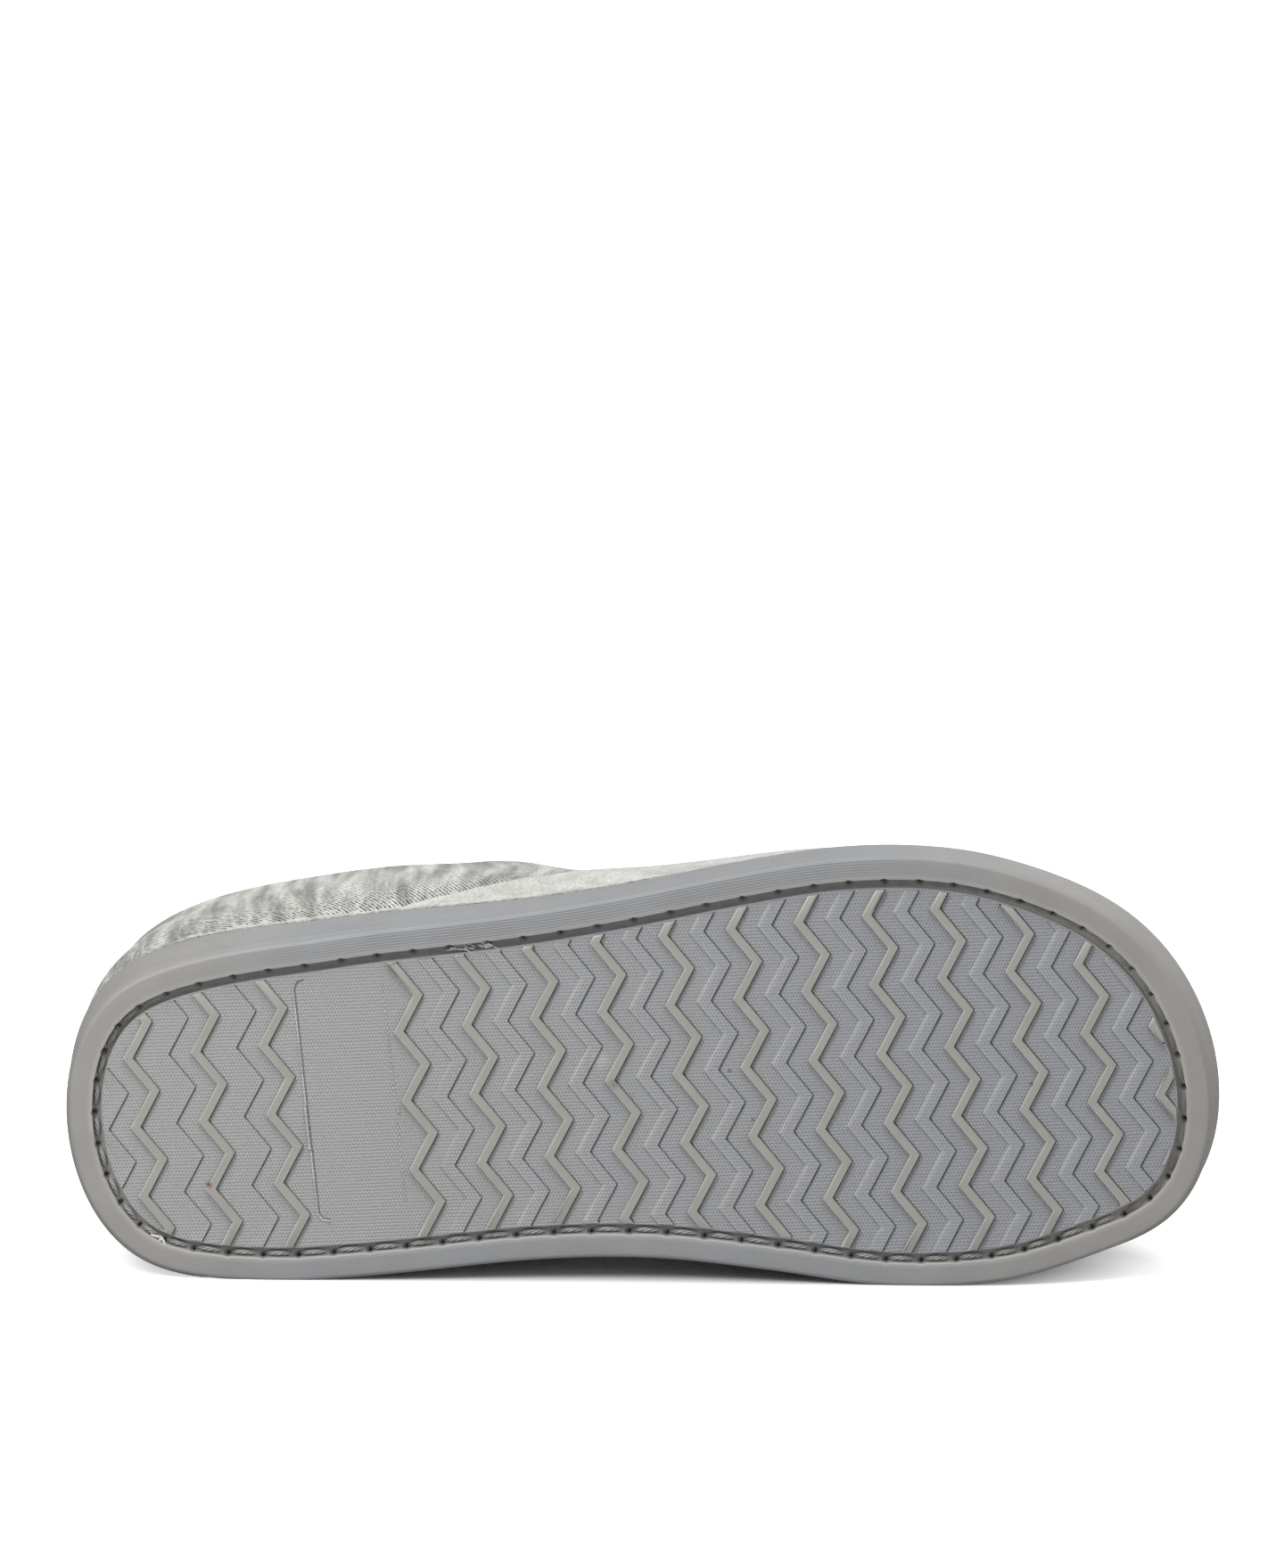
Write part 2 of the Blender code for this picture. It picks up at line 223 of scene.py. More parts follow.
def lay_down(bm):
    """Spring the toe, lay the standing shape on the floor and flatten what the floor presses."""
    for vert in bm.verts:
        vert.co.z += toe_rise(vert.co.x)
    bmesh.ops.transform(bm, matrix=LAID, verts=bm.verts[:])
    for vert in bm.verts:
        vert.co.z = max(0.0, vert.co.z)


def skin(bm, rows, lengths=None, closed=True, marks=()):
    """Add a grid of faces through rows of points, with UVs in metres and float marks; weld it if closed."""
    lengths = lengths or [[point.xy for point in row] for row in rows]
    across = len(rows) - 1
    around = len(rows[0]) - 1
    uv = bm.loops.layers.uv.verify()
    layers = [bm.verts.layers.float.get(name) or bm.verts.layers.float.new(name) for name, values in marks]
    verts = bmesh.ops.create_grid(bm, x_segments=around, y_segments=across, size=1.0)["verts"]
    cell = {}
    for vert in verts:
        cell[vert] = (round((vert.co.y + 1) / 2 * across), round((vert.co.x + 1) / 2 * around))
    faces = {face for vert in verts for face in vert.link_faces}
    for vert, (row, spot) in cell.items():
        vert.co = rows[row][spot]
        for layer, (name, values) in zip(layers, marks):
            vert[layer] = values[row][spot]
    for face in faces:
        for loop in face.loops:
            row, spot = cell[loop.vert]
            loop[uv].uv = lengths[row][spot]
    if closed:
        seam = [vert for vert, (row, spot) in cell.items() if spot in (0, around)]
        bmesh.ops.remove_doubles(bm, verts=seam, dist=WELD)
    return faces


def add_piece(name, bm, materials, sharp_angle=35):
    """A piece of the scene from a bmesh, shaded smooth up to the sharp angle, riding on the one body."""
    mesh = bpy.data.meshes.new(name)
    bm.to_mesh(mesh)
    bm.free()
    mesh.shade_smooth()
    mesh.set_sharp_from_angle(angle=radians(sharp_angle))
    for material in materials:
        mesh.materials.append(material)
    piece = bpy.data.objects.new(name, mesh)
    bpy.context.scene.collection.objects.link(piece)
    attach(piece, "root")
    return piece


def in_rows(columns):
    """Turn columns of spots into a grid of rows for each part of a spot."""
    return [[[spot[part] for spot in row] for row in zip(*columns)] for part in range(len(columns[0][0]))]


def cup_rows(places):
    """Rows of points, UV lengths and marks of the cup, a row for each point of the section."""
    columns = []
    for index, place in enumerate(places):
        along = index / (len(places) - 1) * ROUND_LENGTH
        from_hole = abs((along / STITCH_PITCH) % 1.0 - 0.5) * STITCH_PITCH
        hole = exp(-(from_hole / HOLE_RADIUS) ** 2)
        wall = column(SOLE, "wall", place.station)
        lip_inside = sided(SOLE, "flare", place) - LIP_THICKNESS / 2
        worn_here = 1.0 if place.side < 0 else MEDIAL_WEAR
        lined_here = worn_here * ease(place.station, *LINES_COME_IN) * (1 - ease(place.station, *LINES_FADE))
        spots = []
        across = 0.0
        line_across = along * LINES_SLANT if place.side > 0 else 0.0
        last = None
        for out, height in cup_section(place):
            if last:
                step = hypot(out - last[0], height - last[1])
                across += step
                line_across += step * (WALL_LINE_SHARE if height > GROUND_ROUND else 1.0)
            last = (out, height)
            lined = lined_here * ease(out, -RIM_WIDTH, -RIM_WIDTH * 0.8)
            lined *= 1 - ease(height, *LINES_END[place.side])
            hatched = ease(height, wall - HATCH_BAND, wall - HATCH_BAND / 2) if out > lip_inside else 0.0
            hatched *= 1 - ease(height, wall - 4 * LIP_ROUND, wall - LIP_ROUND)
            edge_wear_and_highlight = worn_here * ease(abs(out + RIM_WIDTH), 2 * RIM_EDGE_ROUND, 0.0)
            edge_wear_and_highlight *= ease(height, 2 * RIM_EDGE_ROUND, 0.0)
            out, height = pitted(out, height, hole)
            spots.append((off_edge(place, out, height), (along, across), lined, hatched, edge_wear_and_highlight, line_across))
        columns.append(spots)
    return in_rows(columns)


RIM_COLUMNS = STITCH_COUNT * COLUMNS_PER_STITCH
rim_places = round_places(RIM_COLUMNS)
points, lengths, lined, hatched, edge_wear_and_highlight, line_place = cup_rows(rim_places)
rim_marks = [("lined", lined), ("hatched", hatched), ("edge_wear_and_highlight", edge_wear_and_highlight), ("line_place", line_place)]
outsole = bmesh.new()
skin(outsole, points, lengths, marks=rim_marks)
floor_loop = [e for e in outsole.edges if e.is_boundary and e.verts[0].co.z > CUP_FLOOR - NEAR]
bmesh.ops.edgeloop_fill(outsole, edges=floor_loop)

# Tread: a rib every 17 mm, bent in a zigzag of 17.5 mm, with a low ramp between each two ribs. They leave out
# a bare field under the arch, which the mould fills with a separate insert.
RIB_PITCH = 17.0 * MM
RIB_FIRST_TIP = 91.5 * MM
RIB_NUMBERS = [n for n in range(-4, 12) if n != -1]
RIB_WIDTH = 2.35 * MM
RIB_HEIGHT = 1.2 * MM
RIB_CHAMFER = 0.42 * MM
RIB_CHAMFER_DROP = 0.2 * MM
# Share of the painted highlight on a rib's front edge.
RIB_FRONT_HIGHLIGHT = 0.15
RAMP_NUMBERS = [-5, -4, -3] + list(range(0, 12))
RAMP_AHEAD_OF_TIP = 9.0 * MM
RAMP_WIDTH = 3.8 * MM
RAMP_BACK = 0.35 * MM
RAMP_BACK_HEIGHT = 0.35 * MM
RAMP_HEEL_SHARE = 0.2
RAMP_GROWS = (40 * MM, 120 * MM)
RAMP_SMOOTH = (110 * MM, 250 * MM)
RAMP_HEIGHT = 0.55 * MM
LEAST_RISE = 0.02 * MM
CUT_WIDTH = 0.4 * MM
CUT_DEPTH = 0.45 * MM
ZIGZAG_PERIOD = 17.5 * MM
ZIGZAG_TIP_Y = -8.55 * MM
ZIGZAG_DEPTH = 5.8 * MM
ZIGZAG_TIPS = range(-7, 9)
RIB_END_GAP = 0.5 * MM
RIB_FACES_OVER = 0.75
LIMIT_EVERY = 4
FACES_OF_LOOPS = 4   # the Delaunay output that keeps whole faces inside the outlines
JOINED_WITHIN = 1e-5

# The insert's witness lines, millimetres: a line with rounded ends, a raised stretch of flash, a line cut in
# beside them (its height is negative), then a dotted line with a tick at the insert's front.
Witness = namedtuple("Witness", "path width height")
WITNESS = [Witness(*row) for row in (
    ([(62.0, -33.2), (60.2, -32.5), (59.4, -30.7), (59.4, -0.8)], 0.4, 0.25),
    ([(62.4, -32.7), (60.7, -32.1), (59.9, -30.6), (59.9, -0.8)], 0.4, -0.3),
    ([(59.2, -0.6), (59.2, 10.2)], 0.6, 0.5),
    ([(59.8, -0.6), (59.8, 10.2)], 0.4, -0.3),
    ([(59.4, 10.4), (59.4, 26.6), (60.3, 28.2), (62.4, 28.8)], 0.4, 0.25),
    ([(59.9, 10.4), (59.9, 26.4), (60.7, 27.8), (62.5, 28.3)], 0.4, -0.3),
    ([(82.3, 1.4), (82.3, 3.2)], 0.5, 0.35),
)]
DOTS_X = 81.7
DOTS_FROM = -30.0
DOT_PITCH = 1.4
DOT_LENGTH = 0.7
for dot in range(40):
    if not 22 <= dot <= 24:
        start = DOTS_FROM + DOT_PITCH * dot
        WITNESS.append(Witness([(DOTS_X, start), (DOTS_X, start + DOT_LENGTH)], 0.4, 0.2))


def zigzag_behind(y):
    """How far the zigzag line at y lies behind its front tips."""
    phase = abs((y - ZIGZAG_TIP_Y) / (ZIGZAG_PERIOD / 2)) % 2
    return ZIGZAG_DEPTH * (1 - abs(1 - phase))


def zigzag_bar(front_x, width):
    """Outline of a zigzag bar across the whole sole."""
    front = []
    for tip in ZIGZAG_TIPS:
        y = ZIGZAG_TIP_Y + ZIGZAG_PERIOD / 2 * tip
        front.append((front_x - zigzag_behind(y), y))
    return front + [(x - width, y) for x, y in reversed(front)]


def line_bar(path, width):
    """Outline of a line of some width along a path."""
    path = [Vector(point) for point in path]
    left = []
    right = []
    for index, point in enumerate(path):
        ahead = path[min(index + 1, len(path) - 1)] - path[max(index - 1, 0)]
        beside = Vector((ahead.y, -ahead.x)).normalized() * width / 2
        left.append((point - beside) * MM)
        right.append((point + beside) * MM)
    return right + left[::-1]


def tread_regions():
    """Outlines drawn on the panel, each with its kind and the front line or height it is raised by."""
    inset = -RIM_WIDTH - GROOVE_WIDTH - RIB_END_GAP
    limit = [place.point + place.outward * inset for place in rim_places[:-1:LIMIT_EVERY]]
    regions = [("panel", [point.xy for point in points[0][:-1]], 0.0), ("limit", [p.xy for p in limit], 0.0)]
    for number in RIB_NUMBERS:
        tip = RIB_FIRST_TIP + RIB_PITCH * number
        regions.append(("rib", zigzag_bar(tip, RIB_WIDTH), tip))
        regions.append(("cut", zigzag_bar(tip + CUT_WIDTH, CUT_WIDTH), tip))
    for number in RAMP_NUMBERS:
        tip = RIB_FIRST_TIP + RIB_PITCH * number + RAMP_AHEAD_OF_TIP
        regions.append(("ramp", zigzag_bar(tip, RAMP_WIDTH - RAMP_BACK), tip))
        regions.append(("ramp", zigzag_bar(tip - RAMP_WIDTH + RAMP_BACK, RAMP_BACK), tip))
        regions.append(("cut", zigzag_bar(tip + CUT_WIDTH, CUT_WIDTH), tip))
    for line in WITNESS:
        regions.append(("witness", line_bar(line.path, line.width), line.height * MM))
    return regions


def past_back(vert, front_x):
    """How far a point of a ramp lies in front of the ramp's back edge."""
    return vert.co.x - (front_x - RAMP_WIDTH - zigzag_behind(vert.co.y))


def ramp_rise(vert, front_x):
    """Height of a ramp over the panel: a steep back edge, lower at the heel, then a slow climb forward."""
    past = past_back(vert, front_x)
    back = RAMP_BACK_HEIGHT * (RAMP_HEEL_SHARE + (1 - RAMP_HEEL_SHARE) * ease(vert.co.x, *RAMP_GROWS))
    if past < RAMP_BACK:
        return max(LEAST_RISE, back * past / RAMP_BACK)
    return back + (RAMP_HEIGHT - back) * (past - RAMP_BACK) / (RAMP_WIDTH - RAMP_BACK)


def draw_tread(bm):
    """Divide the panel along every outline, then raise each rib, ramp and witness line from it."""
    regions = tread_regions()
    corners = []
    loops = []
    for kind, outline, value in regions:
        loops.append(list(range(len(corners), len(corners) + len(outline))))
        corners += [Vector(corner) / MM for corner in outline]
    flat, _, faces, _, _, sources = delaunay_2d_cdt(corners, [], loops, FACES_OF_LOOPS, JOINED_WITHIN, True)
    verts = [bm.verts.new((corner.x * MM, corner.y * MM, PANEL_LEVEL)) for corner in flat]
    raised = {}
    for face, source in zip(faces, sources):
        if 0 not in source:
            continue
        made = bm.faces.new([verts[i] for i in reversed(face)])
        drawn = [i for i in source if i > 1]
        if drawn and 1 in source:
            kind, outline, value = regions[drawn[0]]
            raised.setdefault((kind, value if kind != "witness" else drawn[0]), []).append(made)
    bmesh.ops.delete(bm, geom=[v for v in verts if not v.link_faces], context="VERTS")
    # The layer holds the rim's worn inner edge, and painted highlight on the ribs, ramps and raised witness
    # lines.
    edge_wear_and_highlight = bm.verts.layers.float["edge_wear_and_highlight"]
    smooth = bm.verts.layers.float.new("smooth")
    for (kind, mark), region in raised.items():
        made = bmesh.ops.extrude_face_region(bm, geom=region)["geom"]
        top = [part for part in made if isinstance(part, bmesh.types.BMFace)]
        top_verts = [part for part in made if isinstance(part, bmesh.types.BMVert)]
        bmesh.ops.delete(bm, geom=[face for face in region if face.is_valid], context="FACES_KEEP_BOUNDARY")
        for vert in top_verts:
            if kind == "rib":
                vert.co.z -= RIB_HEIGHT - RIB_CHAMFER_DROP
                behind = mark - zigzag_behind(vert.co.y) - vert.co.x
                # Painted highlight: the rib's outer edge is painted pale at the back and a little at the
                # front.
                vert[edge_wear_and_highlight] = 1.0 if behind > RIB_WIDTH / 2 else RIB_FRONT_HIGHLIGHT
            elif kind == "ramp":
                at_back = abs(past_back(vert, mark) - RAMP_BACK) < LEAST_RISE
                vert.co.z -= ramp_rise(vert, mark)
                vert[smooth] = ease(vert.co.x, *RAMP_SMOOTH)
                # Painted highlight along the ramp's back edge.
                vert[edge_wear_and_highlight] = ease(vert.co.x, *RAMP_GROWS) if at_back else 0.0
            elif kind == "cut":
                vert.co.z += CUT_DEPTH
            else:
                vert.co.z -= regions[mark][2]
                # Painted highlight on the raised witness lines.
                vert[edge_wear_and_highlight] = 1.0 if regions[mark][2] > 0 else 0.0
        if kind == "rib":
            bmesh.ops.inset_region(
                bm, faces=top, thickness=RIB_CHAMFER, depth=RIB_CHAMFER_DROP,
                use_even_offset=True, use_boundary=True,
            )
            for vert in {vert for face in top for vert in face.verts}:
                vert[edge_wear_and_highlight] = 0.0


before = set(outsole.faces)
draw_tread(outsole)
uv = outsole.loops.layers.uv.verify()
for face in outsole.faces:
    if face not in before:
        lowest = min(vert.co.z for vert in face.verts)
        face.material_index = 2 if lowest < PANEL_LEVEL - RIB_FACES_OVER * RIB_HEIGHT else 1
        for loop in face.loops:
            loop[uv].uv = loop.vert.co.xy
bmesh.ops.remove_doubles(outsole, verts=outsole.verts[:], dist=WELD)
bmesh.ops.triangulate(outsole, faces=[face for face in outsole.faces if len(face.verts) > 4])
bmesh.ops.recalc_face_normals(outsole, faces=outsole.faces[:])
lay_down(outsole)


# Moulded rubber: soft satin grey, warmer where the tool was polished. The mould leaves fine lines on the rim
# and up the lateral wall at the waist, a hatched band under the lip, and a honeycomb grain on the panel,
# which turns darker and bluer to the toe.
def linear(hex_colour):
    """Linear RGBA of an sRGB hex colour."""
    parts = [int(hex_colour[i:i + 2], 16) / 255 for i in (1, 3, 5)]
    return (*[c / 12.92 if c <= 0.04045 else ((c + 0.055) / 1.055) ** 2.4 for c in parts], 1.0)


def add(tree, kind, inputs=(), **settings):
    """Add a node with its settings. Inputs go by name, or as a list in the node's own order; each is a value,
    a hex colour, a socket to link, or a node whose first output in use is linked."""
    node = tree.nodes.new("ShaderNode" + kind)
    for name, value in settings.items():
        setattr(node, name, value)
    named = inputs.items() if isinstance(inputs, dict) else enumerate(inputs)
    for name, value in named:
        if isinstance(value, str):
            value = linear(value)
        if isinstance(value, bpy.types.Node):
            value = next(output for output in value.outputs if output.enabled)
        if isinstance(value, bpy.types.NodeSocket):
            tree.links.new(value, node.inputs[name])
        else:
            node.inputs[name].default_value = value
    return node


def new_material(name):
    """A material with an empty node tree."""
    material = bpy.data.materials.new(name)
    material.use_nodes = True
    material.node_tree.nodes.clear()
    return material, material.node_tree


def surfaced(material, roughness, specular, inputs):
    """Finish a material with a Principled shader."""
    finish = {"Roughness": roughness, "Specular IOR Level": specular}
    shader = add(material.node_tree, "BsdfPrincipled", {**finish, **inputs})
    add(material.node_tree, "OutputMaterial", {"Surface": shader})
    return material


RIM_LINE_PITCH = 0.7 * MM
# Share of the painted highlight left on the arms that face away from the key light.
AWAY_ARM_HIGHLIGHT = 0.35
# The hatching is really 0.7 mm, drawn coarser so that it shows.
HATCH_PITCH = 0.85 * MM
WARM_HEEL = (-135 * MM, -80 * MM)
WARM_TOE = (60 * MM, 120 * MM)
DARKER_TO_TOE = (60 * MM, 210 * MM)
# The grain is really 0.65 to 0.75 mm, drawn coarser so that it shows.
GRAIN_WAVES = ((30.3, 0.73 * MM), (-22.7, 0.77 * MM), (-86.7, 0.84 * MM))

# Marks on the tread, millimetres: a rust stain, dark specks, a pale smudge and a scuff.
Mark = namedtuple("Mark", "x y radius amount colour")
MARKS = [Mark(*row) for row in (
    (33.2, 16.5, 1.0, 0.8, "#6b4a33"),
    (165.5, 0.8, 0.7, 0.8, "#45433f"),
    (170.0, 13.7, 0.6, 0.8, "#45433f"),
    (240.0, 11.6, 0.7, 0.8, "#45433f"),
    (133.9, -5.1, 2.6, 0.45, "#c2c1bd"),
    (136.4, 1.2, 1.6, 0.6, "#6d6b66"),
)]


def wave(tree, place, angle, pitch):
    """A sine over the UV plane, with its direction in degrees and its pitch."""
    a = radians(angle)
    direction = Vector((cos(a), sin(a), 0.0)) * 2 * pi / pitch
    turn = add(tree, "VectorMath", [place, direction], operation="DOT_PRODUCT")
    return add(tree, "Math", [turn], operation="SINE")


def lit_arms(tree, place):
    """Painted highlight: 1 on the arms of the zigzag whose back edges face the key light, and less on the
    others.
    """
    across = add(tree, "SeparateXYZ", [place])
    arms = add(tree, "Math", [across.outputs["Y"], ZIGZAG_TIP_Y], operation="SUBTRACT")
    arms = add(tree, "Math", [arms, ZIGZAG_PERIOD], operation="DIVIDE")
    arms = add(tree, "Math", [arms], operation="FRACT")
    return add(tree, "MapRange", [arms, 0.49, 0.51, 1.0, AWAY_ARM_HIGHLIGHT])


def marked(tree, place, colour):
    """A colour with the tread's marks painted over it."""
    ragged = add(tree, "TexNoise", {"Vector": place, "Scale": 1 / (0.8 * MM), "Detail": 2.0})
    for mark in MARKS:
        centre = (mark.x * MM, mark.y * MM, 0.0)
        away = add(tree, "VectorMath", [place, centre], operation="DISTANCE")
        frayed = add(tree, "Math", [ragged, mark.radius * MM, away], operation="MULTIPLY_ADD")
        radius = mark.radius * MM
        amount = add(tree, "MapRange", [frayed, 0.6 * radius, 1.6 * radius, mark.amount, 0.0])
        colour = add(tree, "Mix", {0: amount, 6: colour, 7: mark.colour}, data_type="RGBA")
    return colour


def rim_rubber():
    """Rim and wall from polished steel: satin, a little blotched, pale along the inner edge where it wears.
    """
    material, tree = new_material("moulded_rubber_rim")
    uv_place = add(tree, "UVMap")
    blotch = add(tree, "TexNoise", {"Vector": uv_place, "Scale": 1 / (14 * MM), "Detail": 3.0})
    warm = add(tree, "Mix", {0: blotch, 6: "#8d8b88", 7: "#9c9995"}, data_type="RGBA")
    cool = add(tree, "Mix", {0: blotch, 6: "#868788", 7: "#949597"}, data_type="RGBA")
    place = add(tree, "TexCoord")
    along = add(tree, "SeparateXYZ", [place.outputs["Object"]])
    from_heel = add(tree, "MapRange", [along.outputs["X"], *WARM_HEEL])
    to_toe = add(tree, "MapRange", [along.outputs["X"], *WARM_TOE, 1.0, 0.0])
    middle = add(tree, "Math", [from_heel, to_toe], operation="MULTIPLY")
    colour = add(tree, "Mix", {0: middle, 6: warm, 7: cool}, data_type="RGBA")
    line_place = add(tree, "Attribute", attribute_name="line_place")
    line_turn = add(tree, "Math", [line_place.outputs["Fac"], 2 * pi / RIM_LINE_PITCH],
                    operation="MULTIPLY")
    line_wave = add(tree, "Math", [line_turn], operation="SINE")
    line_amount = add(tree, "Attribute", attribute_name="lined")
    lines = add(tree, "Math", [line_wave, line_amount.outputs["Fac"]], operation="MULTIPLY")
    hatch_wave = wave(tree, uv_place, 0.0, HATCH_PITCH)
    hatch_amount = add(tree, "Attribute", attribute_name="hatched")
    hatch = add(tree, "Math", [hatch_wave, hatch_amount.outputs["Fac"]], operation="MULTIPLY")
    drawn = add(tree, "Math", [hatch, 0.8, lines], operation="MULTIPLY_ADD")
    shade = add(tree, "MapRange", [drawn, -1.0, 1.0, 0.93, 1.08])
    colour = add(tree, "Mix", {0: 1.0, 6: colour, 7: shade}, data_type="RGBA", blend_type="MULTIPLY")
    edge = add(tree, "Attribute", attribute_name="edge_wear_and_highlight")
    pale_wear_and_highlight = add(tree, "Math", [edge.outputs["Fac"], 0.6], operation="MULTIPLY")
    colour = add(tree, "Mix", {0: pale_wear_and_highlight, 6: colour, 7: "#c4c1b8"}, data_type="RGBA")
    grain = add(tree, "TexNoise", {"Vector": uv_place, "Scale": 1 / (0.6 * MM), "Detail": 2.0})
    relief = add(tree, "Math", [grain, 0.6, drawn], operation="MULTIPLY_ADD")
    bump = add(tree, "Bump", {"Height": relief, "Strength": 0.6, "Distance": 0.04 * MM})
    return surfaced(material, 0.55, 0.4, {"Base Color": colour, "Normal": bump})


def panel_rubber():
    """Panel from etched steel: matt, with pale grains between dark pits, and painted highlight on the backs
    of the ramps and on the witness lines.
    """
    material, tree = new_material("moulded_rubber_honeycomb_grain")
    uv_place = add(tree, "UVMap")
    waves = [wave(tree, uv_place, angle, pitch) for angle, pitch in GRAIN_WAVES]
    relief = add(tree, "Math", [waves[0], waves[1]], operation="ADD")
    relief = add(tree, "Math", [relief, waves[2]], operation="ADD")
    ragged = add(tree, "TexNoise", {"Vector": uv_place, "Scale": 1 / (0.9 * MM), "Detail": 2.0})
    relief = add(tree, "Math", [ragged, 2.5, relief], operation="MULTIPLY_ADD")
    along = add(tree, "SeparateXYZ", [uv_place])
    to_toe = add(tree, "MapRange", [along.outputs["X"], *DARKER_TO_TOE])
    colour = add(tree, "Mix", {0: to_toe, 6: "#9f9f9f", 7: "#939498"}, data_type="RGBA")
    smooth = add(tree, "Attribute", attribute_name="smooth")
    polish = add(tree, "Math", [smooth.outputs["Fac"], 0.25], operation="MULTIPLY")
    colour = add(tree, "Mix", {0: polish, 6: colour, 7: "#999ba1"}, data_type="RGBA")
    relief = add(tree, "Mix", {0: polish, 2: relief, 3: 1.25})
    pits = add(tree, "MapRange", [relief, -0.8, 3.3, 0.87, 1.11])
    colour = add(tree, "Mix", {0: 1.0, 6: colour, 7: pits}, data_type="RGBA", blend_type="MULTIPLY")
    # Painted highlight: the backs of the ramps and the raised witness lines are painted pale.
    edge = add(tree, "Attribute", attribute_name="edge_wear_and_highlight")
    pale_wear_and_highlight = add(tree, "Math", [edge.outputs["Fac"], 5.0], operation="POWER")
    pale_wear_and_highlight = add(tree, "Math", [pale_wear_and_highlight, 0.4], operation="MULTIPLY")
    pale_wear_and_highlight = add(tree, "Math", [pale_wear_and_highlight, lit_arms(tree, uv_place)], operation="MULTIPLY")
    colour = add(tree, "Mix", {0: pale_wear_and_highlight, 6: colour, 7: "#d2d0ca"}, data_type="RGBA")
    colour = marked(tree, uv_place, colour)
    bump = add(tree, "Bump", {"Height": relief, "Strength": 0.6, "Distance": 0.06 * MM})
    return surfaced(material, 0.6, 0.4, {"Base Color": colour, "Normal": bump})


def rib_rubber():
    """Ribs from polished steel: smooth and warmer than the panel, with a painted highlight along the back
    edge.
    """
    material, tree = new_material("moulded_rubber_smooth_rib")
    uv_place = add(tree, "UVMap")
    blotch = add(tree, "TexNoise", {"Vector": uv_place, "Scale": 1 / (9 * MM), "Detail": 4.0})
    colour = add(tree, "Mix", {0: blotch, 6: "#94928c", 7: "#a3a19a"}, data_type="RGBA")
    # Painted highlight: the rib's back edge is painted pale, most on the arms that face the key light.
    edge = add(tree, "Attribute", attribute_name="edge_wear_and_highlight")
    pale_wear_and_highlight = add(tree, "Math", [edge.outputs["Fac"], blotch], operation="MULTIPLY")
    pale_wear_and_highlight = add(tree, "Math", [pale_wear_and_highlight, lit_arms(tree, uv_place)], operation="MULTIPLY")
    colour = add(tree, "Mix", {0: pale_wear_and_highlight, 6: colour, 7: "#e0ddd5"}, data_type="RGBA")
    colour = marked(tree, uv_place, colour)
    return surfaced(material, 0.5, 0.4, {"Base Color": colour})


outsole_piece = add_piece("outsole_rubber", outsole, [rim_rubber(), panel_rubber(), rib_rubber()])
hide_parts("outsole")


# Upper: a knitted shell of heather grey jersey over a brushed lining, lasted into the cup and glued inside
# its lip. It is lofted from the lip to the collar, an open ring that stands out slackly on the lateral side.
WALL_THICKNESS = 3.0 * MM
FIT_GAP = 0.3 * MM
COLLAR_TURNS_IN = 0.37
THROAT = 0.56
THROAT_HEIGHT = 74.0 * MM
THROAT_TO_MEDIAL = 4.0 * MM
RAKE = 0.6
RAKE_RATE = 2.5
VAMP_FORM_FROM = 0.36
VAMP_FORM_BY = 0.66
VAMP_START = 1.6
TOE_BOX_SHARE = 0.3
TOE_BOX_ROUND = 10
QUARTER_FULLNESS = 2.2
UPPER_COLUMNS = 300
UPPER_ROWS = 44
COLLAR_LINED_UP = 0.85
COLLAR_ROUND = 1.2 * MM

# Collar, millimetres: how far it stands out from the ground edge, and its height.
CollarSection = namedtuple("CollarSection", "station out_lat out_med height")
COLLAR = [CollarSection(*row) for row in (
    (0.0, -3.0, -3.0, 72.0),
    (0.05, 0.6, -4.6, 71.0),
    (0.1, 3.4, -4.8, 69.0),
    (0.2, 6.2, -4.6, 64.0),
    (0.3, 6.5, -2.4, 61.5),
    (0.35, 5.6, -0.8, 61.0),
)]

# Fullness of the wall just over the lip, millimetres.
BulgeSection = namedtuple("BulgeSection", "station swell_lat swell_med")
BULGE = [BulgeSection(*row) for row in (
    (0.0, 2.6, 1.5),
    (0.1, 2.8, 1.2),
    (0.2, 1.2, 1.0),
    (0.35, 1.5, 1.0),
    (0.5, 2.6, 2.2),
    (0.65, 2.0, 2.4),
    (0.8, 1.5, 2.0),
    (1.0, 1.5, 1.5),
)]

# Creases, millimetres: soft troughs across the vamp where it bends, and slack ones down the quarter. Each is
# at x at the base height, leans by so much x for each millimetre of height, and fades at two heights.
Crease = namedtuple("Crease", "x lean width depth low high side")
CREASES = [Crease(*row) for row in (
    (176, 0.25, 5.0, 1.8, 42, 76, 0),
    (193, 0.15, 4.5, 2.4, 40, 74, 0),
    (210, 0.05, 5.0, 1.8, 38, 70, 0),
    (118, -0.9, 7.0, 0.3, 26, 60, -1),
    (62, 0.3, 10.0, 1.2, 30, 70, 1),
    (104, -0.6, 7.0, 1.0, 28, 66, 1),
    (20, 0.2, 7.0, 0.6, 36, 76, 1),
)]
CREASE_FADE = 10 * MM
CREASE_MIDDLE = 12 * MM
CREASE_RIDGE = 0.4
CREASE_RIDGE_OFF = 2
CREASE_BASE = 40 * MM
BULGE_PEAK = 256 / 27   # brings the peak of r * (1 - r) ** 3 to 1


